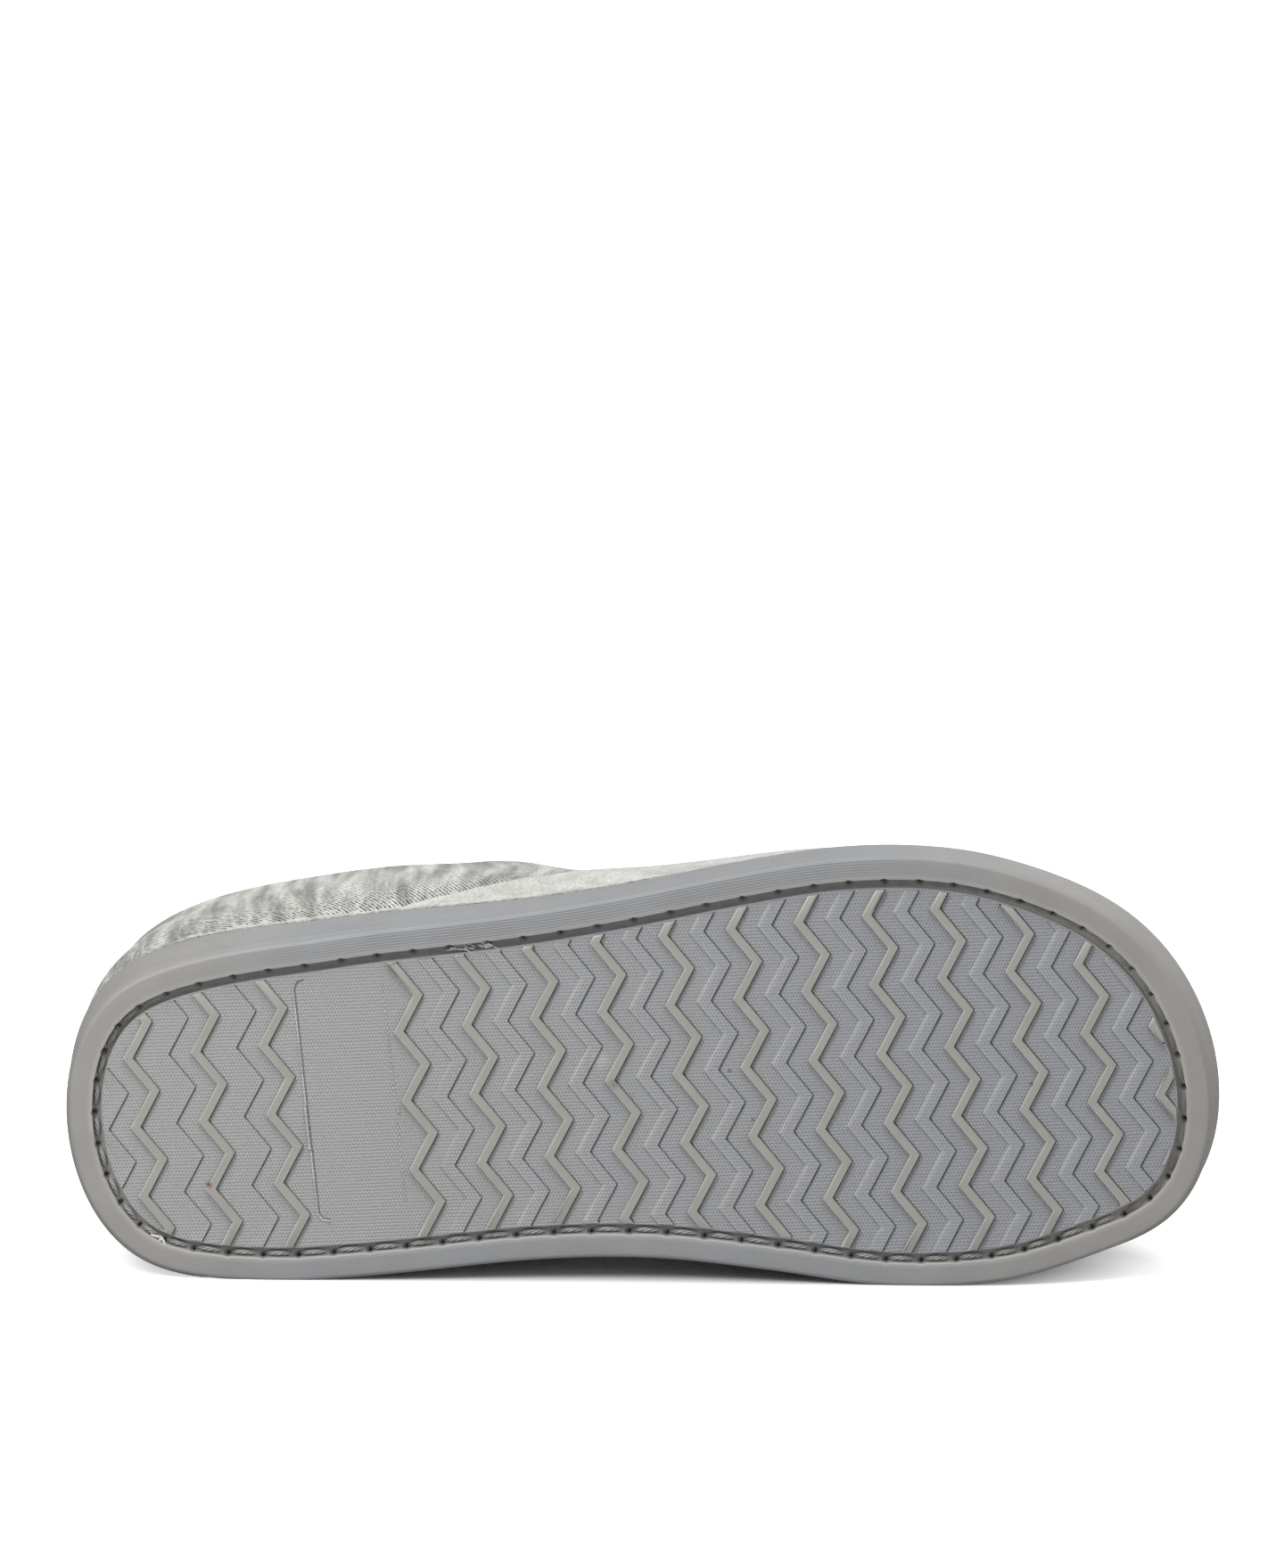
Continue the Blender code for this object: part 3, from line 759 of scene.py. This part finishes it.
def collar_point(turn, side):
    """Point of the collar line; turn runs from 0 at the heel to pi at the middle of the throat."""
    side_turn = acos(1 - 2 * COLLAR_TURNS_IN)
    on_side = min(turn, side_turn)
    place = place_at(on_side if side < 0 else 2 * pi - on_side)
    point = off_edge(place, sided(COLLAR, "out", place), column(COLLAR, "height", place.station))
    throat = Vector((SOLE_LENGTH * THROAT, column(SOLE, "swing", THROAT) + THROAT_TO_MEDIAL, THROAT_HEIGHT))
    sweep = (turn - on_side) / (pi - side_turn) * pi / 2
    return Vector((
        point.x + (throat.x - point.x) * sin(sweep),
        throat.y + (point.y - throat.y) * cos(sweep),
        point.z + (throat.z - point.z) * sin(sweep) ** 2,
    ))


def lengths_along(line):
    """Length of a line up to each of its points."""
    return np.cumsum([0.0] + [(b - a).length for a, b in zip(line, line[1:])])


HALF_TURNS = np.linspace(0, pi, 181)
EDGE_SHARES = {}
COLLAR_SHARES = {}
COLLAR_LENGTH = {}
for side in (-1, 1):
    edge_line = lengths_along([edge_point(turn if side < 0 else 2 * pi - turn) for turn in HALF_TURNS])
    collar_line = lengths_along([collar_point(turn, side) for turn in HALF_TURNS])
    COLLAR_LENGTH[side] = collar_line[-1]
    EDGE_SHARES[side] = edge_line / edge_line[-1]
    COLLAR_SHARES[side] = collar_line / collar_line[-1]


def edge_share(place):
    """Share of the ground edge from the heel to the toe at a place, on its own side."""
    turn = min(place.turn, 2 * pi - place.turn)
    return float(np.interp(turn, HALF_TURNS, EDGE_SHARES[place.side]))


def raked_share(on_edge):
    """Share of the collar over a share of the ground edge, raked back to the heel."""
    return RAKE * (1 - (1 - on_edge) ** RAKE_RATE) + (1 - RAKE) * on_edge


def top_point(place):
    """The collar's point over a place."""
    share = raked_share(edge_share(place))
    return collar_point(float(np.interp(share, COLLAR_SHARES[place.side], HALF_TURNS)), place.side)


def wall_points(place, shares):
    """Points of the upper's outer face over a place, for shares from 0 at the lip to 1 at the collar."""
    lip_out = sided(SOLE, "flare", place) - LIP_THICKNESS - FIT_GAP
    lip = off_edge(place, lip_out, column(SOLE, "wall", place.station) + FIT_GAP)
    span = top_point(place) - lip
    across = place.outward * span.dot(place.outward)
    lengthwise = Vector((span.x, span.y, 0.0)) - across
    vamp = ease(place.station, VAMP_FORM_FROM, VAMP_FORM_BY)
    swell = place.outward * sided(BULGE, "swell", place)
    points = []
    for r in shares:
        bowed = 1 - (1 - r) ** QUARTER_FULLNESS
        over = r ** VAMP_START
        box = TOE_BOX_SHARE * (1 - (1 - over) ** TOE_BOX_ROUND) + (1 - TOE_BOX_SHARE) * over
        point = lip + across * ((1 - vamp) * bowed + vamp * over)
        point += lengthwise * ((1 - vamp) * r + vamp * over)
        point.z = lip.z + span.z * ((1 - vamp) * r + vamp * box)
        points.append(point + swell * r * (1 - r) ** 3 * BULGE_PEAK)
    return points


def crease_move(point):
    """How far the creases move a point of the standing upper along its normal."""
    move = 0.0
    for crease in CREASES:
        off = (point.x - crease.x * MM - crease.lean * (point.z - CREASE_BASE)) / (crease.width * MM)
        here = ease(point.z, crease.low * MM, crease.low * MM + CREASE_FADE)
        here *= 1 - ease(point.z, crease.high * MM - CREASE_FADE, crease.high * MM)
        if crease.side:
            here *= ease(crease.side * point.y, 0.0, CREASE_MIDDLE)
        shape = CREASE_RIDGE * exp(-(abs(off) - CREASE_RIDGE_OFF) ** 2) - exp(-off * off)
        move += crease.depth * MM * here * shape
    return move


def press_creases(bm, proud=None):
    """Move every point along its normal by the creases, and by the proud mark where there is one."""
    bm.normal_update()
    for vert in bm.verts:
        vert.co += vert.normal * (crease_move(vert.co) + (vert[proud] if proud else 0.0))


def upper_rows():
    """Rows of the upper's outer face, from its foot inside the cup to its top, with UVs from the lip."""
    columns = []
    shares = [row / UPPER_ROWS for row in range(UPPER_ROWS + 1)]
    for place in round_places(UPPER_COLUMNS):
        on_edge = edge_share(place)
        on_lip = on_edge * ROUND_LENGTH / 2
        on_collar = raked_share(on_edge) * COLLAR_LENGTH[place.side]
        foot = off_edge(place, -LIP_THICKNESS - FIT_GAP, CUP_FLOOR + 3 * FIT_GAP)
        wall = [foot] + wall_points(place, shares)
        heights = lengths_along(wall)
        along = [on_lip + (on_collar - on_lip) * ease(r, 0.0, COLLAR_LINED_UP) for r in [0.0] + shares]
        columns.append(list(zip(wall, zip(along, heights - heights[1]))))
    return in_rows(columns)


upper = bmesh.new()
points, lengths = upper_rows()
skin(upper, points, lengths)
press_creases(upper)
lay_down(upper)


# Heather jersey: two greys of yarn spun together, knitted in fine wales that are pulled into arcs round the
# heel. Painted shade darkens the furrows between the wales, most near the sole, under mottled streaks, and
# there is no gloss.
# The wales are really 0.9 mm, drawn coarser so that they show.
WALE_PITCH = 0.95 * MM
WALE_CENTRE = (57 * MM, -19 * MM, 0.0)
FURROW_SHADE_FADE = (10 * MM, 32 * MM)
COURSE_PITCH = 1.5 * MM
STREAK_LEAN = radians(-5)


def heather_jersey():
    """Two greys of yarn: mottled streaks over fine furrows with painted shade, quite matt."""
    material, tree = new_material("heather_cotton_jersey")
    uv_place = add(tree, "UVMap")
    measure = add(tree, "SeparateXYZ", [uv_place])
    arcs = add(tree, "VectorMath", [uv_place, WALE_CENTRE], operation="DISTANCE")
    loops = add(tree, "Math", [measure.outputs["Y"], COURSE_PITCH / 2], operation="PINGPONG")
    bent = add(tree, "Math", [loops, 0.15, arcs], operation="MULTIPLY_ADD")
    wander = add(tree, "TexNoise", {"Vector": uv_place, "Scale": 1 / (6 * MM), "Detail": 2.0})
    bent = add(tree, "Math", [wander, WALE_PITCH, bent], operation="MULTIPLY_ADD")
    turn = add(tree, "Math", [bent, 2 * pi / WALE_PITCH], operation="MULTIPLY")
    wale = add(tree, "Math", [turn], operation="SINE")
    leaning = {"Vector": uv_place, "Rotation": (0.0, 0.0, STREAK_LEAN), "Scale": (1.0, 5.0, 1.0)}
    streaked = add(tree, "Mapping", leaning, vector_type="TEXTURE")
    heather = add(tree, "TexNoise", {"Vector": streaked, "Scale": 1 / (4.0 * MM), "Detail": 5.0})
    spread = add(tree, "MapRange", [heather, 0.36, 0.64])
    yarn = add(tree, "Mix", {0: spread, 6: "#999994", 7: "#dcdcd7"}, data_type="RGBA")
    # Painted shade: the furrows are darkened most near the sole and fade higher up.
    low = add(tree, "MapRange", [measure.outputs["Y"], *FURROW_SHADE_FADE, 1.0, 0.2])
    furrow_shade = add(tree, "MapRange", [wale, 0.0, -0.8])
    furrow_shade = add(tree, "Math", [furrow_shade, low], operation="MULTIPLY")
    broken = add(tree, "TexNoise", {"Vector": uv_place, "Scale": 1 / (1.3 * MM), "Detail": 2.0})
    broken = add(tree, "MapRange", [broken, 0.34, 0.56])
    furrow_shade = add(tree, "Math", [furrow_shade, broken], operation="MULTIPLY")
    colour = add(tree, "Mix", {0: furrow_shade, 6: yarn, 7: "#30302e"}, data_type="RGBA")
    fuzz = add(tree, "TexNoise", {"Vector": uv_place, "Scale": 1 / (0.5 * MM), "Detail": 3.0})
    relief = add(tree, "Math", [fuzz, 1.2, wale], operation="MULTIPLY_ADD")
    bump = add(tree, "Bump", {"Height": relief, "Strength": 0.8, "Distance": 0.2 * MM})
    return surfaced(material, 0.95, 0.15, {"Base Color": colour, "Normal": bump, "Sheen Weight": 0.1})


def brushed_lining():
    """A brushed knit: a cloudy nap that hides its threads."""
    material, tree = new_material("brushed_fleece_lining")
    uv_place = add(tree, "UVMap")
    nap = add(tree, "TexNoise", {"Vector": uv_place, "Scale": 1 / (1.2 * MM), "Detail": 5.0})
    clump = add(tree, "TexNoise", {"Vector": uv_place, "Scale": 1 / (7 * MM), "Detail": 3.0})
    tone = add(tree, "Math", [nap, clump], operation="MULTIPLY")
    spread = add(tree, "MapRange", [tone, 0.12, 0.4])
    colour = add(tree, "Mix", {0: spread, 6: "#9a9a98", 7: "#cfcfcb"}, data_type="RGBA")
    bump = add(tree, "Bump", {"Height": nap, "Strength": 0.9, "Distance": 0.6 * MM})
    return surfaced(material, 1.0, 0.1, {"Base Color": colour, "Normal": bump})


def thicken(piece, thickness, inner_material, edge_round, segments):
    """Thicken a cloth inward and round its cut edges."""
    wall = piece.modifiers.new("wall", "SOLIDIFY")
    wall.thickness = thickness
    wall.offset = -1.0
    wall.material_offset = inner_material
    edge = piece.modifiers.new("turned_edge", "BEVEL")
    edge.width = edge_round
    edge.segments = segments
    edge.limit_method = "ANGLE"
    edge.angle_limit = radians(60)


upper_piece = add_piece("upper_knit", upper, [heather_jersey(), brushed_lining()], 60)
thicken(upper_piece, WALL_THICKNESS, 1, COLLAR_ROUND, 3)
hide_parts("upper")


# Vamp panel: a pale woolly fleece laid over the jersey from in front of the throat round the toes. Its ragged
# edge climbs forward from the lip at each side of the arch; its foot is glued down inside the lip.
VAMP_SEAM_FOOT = 0.27
VAMP_SEAM_HEIGHT = 0.9
VAMP_SEAM_CLIMB = 0.75
VAMP_LEAST = 0.02
VAMP_RAGGED = 0.003
RAGGED_RATES = (1.9, 0.83)
VAMP_PROUD = 0.5 * MM
VAMP_RISES_BY = 4 * MM
VAMP_THICKNESS = 1.0 * MM
VAMP_EDGE_ROUND = 0.4 * MM
VAMP_TUCK = 3.0 * MM
VAMP_COLUMNS = 260
VAMP_ROWS = 32


def vamp_rows():
    """Rows of the vamp's outer face from its tuck behind the lip to its edge, and how proud it stands."""
    columns = []
    seam_turn = acos(1 - 2 * VAMP_SEAM_FOOT)
    first, last = np.interp((seam_turn, 2 * pi - seam_turn), FINE_TURNS, FINE_ALONG)
    for k in range(VAMP_COLUMNS + 1):
        place = place_along(first + (last - first) * k / VAMP_COLUMNS)
        forward = max(0.0, (place.station - VAMP_SEAM_FOOT) / (1 - VAMP_SEAM_FOOT))
        ragged = VAMP_RAGGED * sum(sin(k * rate) for rate in RAGGED_RATES)
        edge = max(VAMP_LEAST, VAMP_SEAM_HEIGHT * forward ** VAMP_SEAM_CLIMB + ragged)
        shares = [edge * row / VAMP_ROWS for row in range(VAMP_ROWS + 1)]
        wall = wall_points(place, shares)
        heights = [(point - wall[0]).length for point in wall]
        proud = [VAMP_PROUD * ease(height, 0.0, VAMP_RISES_BY) for height in heights]
        columns.append(list(zip([wall[0] - Vector((0, 0, VAMP_TUCK))] + wall, [0.0] + proud)))
    return in_rows(columns)


vamp = bmesh.new()
rows, proud = vamp_rows()
skin(vamp, rows, closed=False, marks=[("proud", proud)])
press_creases(vamp, vamp.verts.layers.float["proud"])
lay_down(vamp)


def woolly_fleece():
    """Wool brushed and fulled: pale, in small clumps, with a soft bloom at the edge."""
    material, tree = new_material("brushed_wool_fleece")
    place = add(tree, "TexCoord")
    nap = add(tree, "TexNoise", {"Vector": place.outputs["Object"], "Scale": 1 / (0.9 * MM), "Detail": 4.0})
    clump = add(tree, "TexNoise", {"Vector": place.outputs["Object"], "Scale": 1 / (5 * MM), "Detail": 3.0})
    tone = add(tree, "Math", [nap, clump], operation="ADD")
    spread = add(tree, "MapRange", [tone, 0.75, 1.25])
    colour = add(tree, "Mix", {0: spread, 6: "#adada8", 7: "#d0d0cb"}, data_type="RGBA")
    bump = add(tree, "Bump", {"Height": tone, "Strength": 1.0, "Distance": 0.7 * MM})
    return surfaced(material, 1.0, 0.1, {"Base Color": colour, "Normal": bump, "Sheen Weight": 0.4})


fleece = woolly_fleece()
vamp_piece = add_piece("vamp_fleece", vamp, [fleece], 60)
thicken(vamp_piece, VAMP_THICKNESS, 0, VAMP_EDGE_ROUND, 2)


# Welt: the torn edge of the felt that the upper is lasted on, squeezed out as a pale ragged line on top of
# the lip along each side of the quarter.
WELT_STEP = 0.9 * MM
WELT_SIDES = 6
WELT_OUT = 0.1 * MM
WELT_RISE = 0.3 * MM
WELT_END = 0.05 * MM
WELT_LEAST = 0.25 * MM
WELT_MOST = 1.0 * MM
WELT_FROM = 0.07
WELT_BY = 0.56
WELT_TAPER = 0.1

welt = bmesh.new()
chance = random.Random(11)
for side in (-1, 1):
    ends = [acos(1 - 2 * station) for station in (WELT_FROM, WELT_BY)]
    ends = [turn if side < 0 else 2 * pi - turn for turn in ends]
    first, last = np.interp(ends, FINE_TURNS, FINE_ALONG)
    columns = round(abs(last - first) / WELT_STEP)
    rows = []
    for k in range(columns + 1):
        place = place_along(first + (last - first) * k / columns)
        rise = column(SOLE, "wall", place.station) + WELT_RISE
        centre = off_edge(place, sided(SOLE, "flare", place) + WELT_OUT, rise)
        taper = ease(place.station, WELT_FROM, WELT_FROM + WELT_TAPER)
        taper *= 1 - ease(place.station, WELT_BY - WELT_TAPER, WELT_BY)
        radius = WELT_END + (chance.uniform(WELT_LEAST, WELT_MOST) - WELT_END) * taper
        angles = [2 * pi * (corner % WELT_SIDES) / WELT_SIDES for corner in range(WELT_SIDES + 1)]
        ring = [place.outward * cos(a) + Vector((0, 0, sin(a))) for a in angles]
        rows.append([centre + radius * spoke for spoke in ring])
    skin(welt, rows)
bmesh.ops.holes_fill(welt, edges=[e for e in welt.edges if e.is_boundary], sides=WELT_SIDES)
bmesh.ops.recalc_face_normals(welt, faces=welt.faces[:])
lay_down(welt)
welt_piece = add_piece("felt_welt", welt, [fleece], 80)


# Insole: a soft foam footbed faced with a woven cloth, cut to the inside of the cup and laid loose on its
# floor. Its edge is rounded, and its top is crowned a little.
INSOLE_THICKNESS = 7.0 * MM
INSOLE_EDGE = LIP_THICKNESS + WALL_THICKNESS + 3 * FIT_GAP
INSOLE_ROUND = 2.0 * MM
INSOLE_EDGE_SHARE = 0.85
INSOLE_TOP = ((9 * MM, 0.99), (18 * MM, 1.0))
INSOLE_FOOT = 1 * MM
INSOLE_COLUMNS = 160

bottom = CUP_FLOOR + FIT_GAP
section = [(-INSOLE_EDGE - INSOLE_FOOT, 0.0)]
for angle in range(-90, 91, 30):
    a = radians(angle)
    out = -INSOLE_EDGE - INSOLE_ROUND * (1 - cos(a))
    section.append((out, INSOLE_THICKNESS / 2 * (1 + INSOLE_EDGE_SHARE * sin(a))))
section += [(-INSOLE_EDGE - inward, INSOLE_THICKNESS * share) for inward, share in INSOLE_TOP]
insole = bmesh.new()
insole_places = round_places(INSOLE_COLUMNS)
skin(insole, [[off_edge(place, out, bottom + height) for place in insole_places] for out, height in section])
for loop_height in (bottom, bottom + INSOLE_THICKNESS):
    rim = [e for e in insole.edges if e.is_boundary and abs(e.verts[0].co.z - loop_height) < NEAR]
    bmesh.ops.edgeloop_fill(insole, edges=rim)
bmesh.ops.recalc_face_normals(insole, faces=insole.faces[:])
lay_down(insole)


def footbed_cloth():
    """A plain weave over foam: matt and finely mottled."""
    material, tree = new_material("woven_footbed_cloth")
    place = add(tree, "TexCoord")
    weave = add(tree, "TexNoise", {"Vector": place.outputs["Object"], "Scale": 1 / (1.0 * MM), "Detail": 4.0})
    colour = add(tree, "Mix", {0: weave, 6: "#858584", 7: "#b0b0ad"}, data_type="RGBA")
    bump = add(tree, "Bump", {"Height": weave, "Strength": 0.6, "Distance": 0.3 * MM})
    return surfaced(material, 0.95, 0.15, {"Base Color": colour, "Normal": bump})


insole_piece = add_piece("insole_pad", insole, [footbed_cloth()])
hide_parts("insole")


# Stitching: a thick flat twisted thread that fills the groove and dives through the sole at each needle hole.
# It is locked off at the heel with a knot, and a few of its fibres have frayed at the waist.
THREAD_WIDTH = 1.45 * MM
THREAD_THICKNESS = 1.2 * MM
THREAD_SIDES = 8
THREAD_STEPS = 8
THREAD_PEAK = 1.35
THREAD_ROUNDNESS = 0.6
THREAD_END_SIZE = 0.5
STITCH_GAP = 0.08
PRESSED = 0.85
PRESSED_FROM = (0.02, 0.14)
PRESSED_TOE = (0.84, 0.97)
PRESSED_TOE_SHARE = 0.85
THREAD_FROM_RIM = 0.15 * MM
HOLE_AT = -RIM_WIDTH - 0.5 * MM
DIVE = 0.9 * MM
KNOT_FROM_HEEL = 40 * MM
FRAY_AT = 130 * MM
FIBRES = 34
FIBRE_RADIUS = 0.1 * MM
FIBRE_RISE = 0.15
FIBRE_DROOP = 0.8
FIBRE_BEND = 0.2
FIBRE_LENGTHS = (0.8 * MM, 2.4 * MM)
FRAY_ALONG = (-5 * MM, 5 * MM)
FRAY_OUT = (0.2 * MM, 1.6 * MM)
FRAY_SWING = (-0.5, 0.5)
KNOT_OUT = 0.9 * MM
KNOT_ENDS = ((2.6, 3.6 * MM), (0.4, 2.6 * MM), (1.7, 2.2 * MM))


def lay_yarn(bm, path, pressed=0.0):
    """Faces of one length of yarn along a path of points, each with a direction, width and thickness."""
    columns = []
    for side in range(THREAD_SIDES + 1):
        a = 2 * pi * (side % THREAD_SIDES) / THREAD_SIDES
        around = side / THREAD_SIDES * pi * THREAD_WIDTH
        spots = []
        for index, (point, level, width, thickness) in enumerate(path):
            up = Vector((0, 0, sin(a) * thickness / 2))
            spot = point + level * cos(a) * width / 2 + up
            spots.append((spot, (index / len(path) * STITCH_PITCH, around), pressed))
        columns.append(spots)
    rows, lengths, flattened = in_rows(columns)
    return skin(bm, rows, lengths, marks=[("pressed", flattened)])


def stitch(bm, number):
    """One stitch from needle hole to needle hole, highest past its middle."""
    path = []
    for step in range(THREAD_STEPS + 1):
        share = step / THREAD_STEPS
        place = place_along((number + 0.5 + STITCH_GAP / 2 + (1 - STITCH_GAP) * share) * STITCH_PITCH)
        lift = sin(pi * share ** THREAD_PEAK) ** THREAD_ROUNDNESS
        size = THREAD_END_SIZE + (1 - THREAD_END_SIZE) * lift
        at_toe = ease(place.station, *PRESSED_TOE)
        on_side = ease(place.station, *PRESSED_FROM) if place.side < 0 else 0.0
        pressed = on_side + (PRESSED_TOE_SHARE - on_side) * at_toe
        thickness = THREAD_THICKNESS * (1 - PRESSED * pressed)
        out = HOLE_AT + (-RIM_WIDTH - THREAD_FROM_RIM - THREAD_WIDTH / 2 - HOLE_AT) * lift
        height = GROOVE_LEVEL + DIVE - (DIVE + thickness / 2) * lift
        width = THREAD_WIDTH * (size + (1 - size) * pressed)
        path.append((off_edge(place, out, height), place.outward, width, thickness * size))
    lay_yarn(bm, path, pressed)


def loose_fibre(bm, distance, out, turn, length, radius):
    """A loose end that rises from the groove at a distance round the edge and falls over to one side."""
    place = place_along(distance)
    ahead = Vector((-place.outward.y, place.outward.x, 0.0))
    heading = ahead * cos(turn) + place.outward * sin(turn)
    beside = Vector((-heading.y, heading.x, 0.0))
    start = off_edge(place, out, GROOVE_LEVEL - THREAD_THICKNESS)
    path = []
    for share in (0.0, 0.25, 0.5, 0.75, 1.0):
        rise = Vector((0, 0, -length * FIBRE_RISE * sin(pi * share * FIBRE_DROOP)))
        point = start + heading * length * share + beside * length * FIBRE_BEND * share ** 2 + rise
        path.append((point, beside, 2 * radius, 2 * radius))
    for face in lay_yarn(bm, path):
        face.material_index = 1


thread = bmesh.new()
for number in range(STITCH_COUNT):
    stitch(thread, number)
chance = random.Random(4)
for number in range(FIBRES):
    along = FRAY_AT + chance.uniform(*FRAY_ALONG)
    out = -RIM_WIDTH - chance.uniform(*FRAY_OUT)
    turn = chance.choice((0, pi)) + chance.uniform(*FRAY_SWING)
    loose_fibre(thread, along, out, turn, chance.uniform(*FIBRE_LENGTHS), FIBRE_RADIUS)
for turn, length in KNOT_ENDS:
    loose_fibre(thread, ROUND_LENGTH - KNOT_FROM_HEEL, -RIM_WIDTH - KNOT_OUT, turn, length, THREAD_WIDTH / 4)
bmesh.ops.holes_fill(thread, edges=[e for e in thread.edges if e.is_boundary], sides=THREAD_SIDES)
bmesh.ops.recalc_face_normals(thread, faces=thread.faces[:])
lay_down(thread)


def twisted_thread():
    """Waxed polyester in plies: silvery twists, dull where it has been pressed flat."""
    material, tree = new_material("waxed_polyester_thread")
    uv_place = add(tree, "UVMap")
    turned = add(tree, "Mapping", {"Vector": uv_place, "Rotation": (0.0, 0.0, radians(62))})
    plies = add(tree, "TexWave", {"Vector": turned, "Scale": pi / 10 / (0.8 * MM), "Distortion": 1.0})
    colour = add(tree, "Mix", {0: plies.outputs["Fac"], 6: "#7c7c7a", 7: "#b4b4b0"}, data_type="RGBA")
    flat = add(tree, "Attribute", attribute_name="pressed")
    colour = add(tree, "Mix", {0: flat.outputs["Fac"], 6: colour, 7: "#878786"}, data_type="RGBA")
    round_left = add(tree, "Math", [1.0, flat.outputs["Fac"]], operation="SUBTRACT")
    bump = add(tree, "Bump", {
        "Height": plies.outputs["Fac"], "Strength": round_left, "Distance": 0.2 * MM})
    return surfaced(material, 0.4, 0.5, {"Base Color": colour, "Normal": bump})


def frayed_fibre():
    """Single polyester fibres: thin, pale and bright."""
    return surfaced(new_material("frayed_polyester_fibre")[0], 0.45, 0.5, {"Base Color": "#d0cdc8"})


thread_piece = add_piece("sole_stitching", thread, [twisted_thread(), frayed_fibre()], 60)


# Floor, light and camera: a white paper sweep that glows brighter away from the shoe, painted light that
# washes out the shoe's shadows on it, a soft key from the upper left, a broad soft light overhead, weak ones
# from behind and the right, and a dim room. A greyer sheet under the paper, hidden from the camera, is the
# floor as the shoe sees it, so that less light bounces back onto the shoe and the shade under it is darker.
FLOOR_RADIUS = 6.0
FLOOR_SEGMENTS = 96
SHEET_BELOW = 0.5 * MM
GLOW_LENGTH = 0.095
GLOW_WIDTH = 0.05
GLOW_FROM = 1.1
GLOW_BY = 1.4
GLOW = 0.6
LIGHT_AIM = Vector((0.0, -0.02, 0.05))


def add_sheet(name, height, colour, glow):
    """A round sheet on the stage; its glow grows away from the shoe."""
    bm = bmesh.new()
    bmesh.ops.create_circle(bm, cap_ends=True, radius=FLOOR_RADIUS, segments=FLOOR_SEGMENTS)
    bmesh.ops.translate(bm, verts=bm.verts[:], vec=(0, 0, height))
    mesh = bpy.data.meshes.new(name)
    bm.to_mesh(mesh)
    bm.free()
    sheet = bpy.data.objects.new(name, mesh)
    bpy.context.scene.collection.objects.link(sheet)
    material, tree = new_material(name)
    place = add(tree, "TexCoord")
    oval = (1 / GLOW_LENGTH, 1 / GLOW_WIDTH, 0.0)
    scaled = add(tree, "VectorMath", [place.outputs["Object"], oval], operation="MULTIPLY")
    away = add(tree, "VectorMath", [scaled], operation="LENGTH")
    growing = add(tree, "MapRange", [away, GLOW_FROM, GLOW_BY, 0.0, glow])
    mesh.materials.append(surfaced(material, 0.9, 0.1, {
        "Base Color": colour, "Emission Color": "#ffffff", "Emission Strength": growing}))
    return sheet


# The paper's glow is painted light that washes out the shoe's shadows away from it.
paper = add_sheet("white_paper_sweep", 0.0, "#f8f8f8", GLOW)
paper.visible_diffuse = False
paper.visible_glossy = False
paper.visible_shadow = False
# The grey sheet gives the shoe a darker floor to bounce light from, which deepens the shade under it.
sheet = add_sheet("grey_sheet", -SHEET_BELOW, "#a6a6a6", 0.0)
sheet.visible_camera = False


def add_light(name, kind, direction, distance, power):
    """A light that looks at the middle of the shoe from a direction."""
    lamp = bpy.data.lights.new(name, kind)
    lamp.energy = power
    light = bpy.data.objects.new(name, lamp)
    light.location = LIGHT_AIM + Vector(direction).normalized() * distance
    light.rotation_euler = (-Vector(direction)).to_track_quat("-Z", "Y").to_euler()
    bpy.context.scene.collection.objects.link(light)
    return lamp


key = add_light("key", "AREA", (-0.8, -1.0, 1.05), 1.0, 5.8)
key.shape = "SQUARE"
key.size = 0.35
SOFT_LIGHTS = (
    ("overhead", (0.0, -0.15, 1.0), 2.0, 50),
    ("behind", (0.4, 1.0, 0.6), 0.8, 60),
    ("right", (1.0, -0.9, 0.8), 0.9, 60),
)
for name, direction, power, spread in SOFT_LIGHTS:
    soft = add_light(name, "SUN", direction, 2.0, power)
    soft.angle = radians(spread)
ROOM_LIGHT = 0.06
HORIZON = 0.05
world = bpy.data.worlds.new("dim_room")
world.use_nodes = True
tree = world.node_tree
direction = add(tree, "TexCoord")
height = add(tree, "SeparateXYZ", [direction.outputs["Generated"]])
level = add(tree, "Math", [height.outputs["Z"]], operation="ABSOLUTE")
brightness = add(tree, "MapRange", [level, HORIZON, 2 * HORIZON, 1.0, ROOM_LIGHT])
background = tree.nodes["Background"]
background.inputs["Color"].default_value = linear("#ffffff")
tree.links.new(brightness.outputs[0], background.inputs["Strength"])
bpy.context.scene.world = world
bpy.context.scene.view_settings.view_transform = "Standard"

CAMERA_AZIMUTH = radians(-1.975)
CAMERA_ELEVATION = radians(12.8)
CAMERA_DISTANCE = 3.56
CAMERA_LENS = 327.5
CAMERA_AIM = Vector((-0.0003, -0.0123, 0.1218))
camera_data = bpy.data.cameras.new("camera")
camera_data.sensor_width = 36.0
camera_data.lens = CAMERA_LENS
camera_data.clip_end = 50.0
camera = bpy.data.objects.new("camera", camera_data)
camera.rotation_euler = (pi / 2 - CAMERA_ELEVATION, 0.0, -CAMERA_AZIMUTH)
camera.location = CAMERA_AIM + camera.rotation_euler.to_matrix() @ Vector((0, 0, CAMERA_DISTANCE))
bpy.context.scene.collection.objects.link(camera)
bpy.context.scene.camera = camera
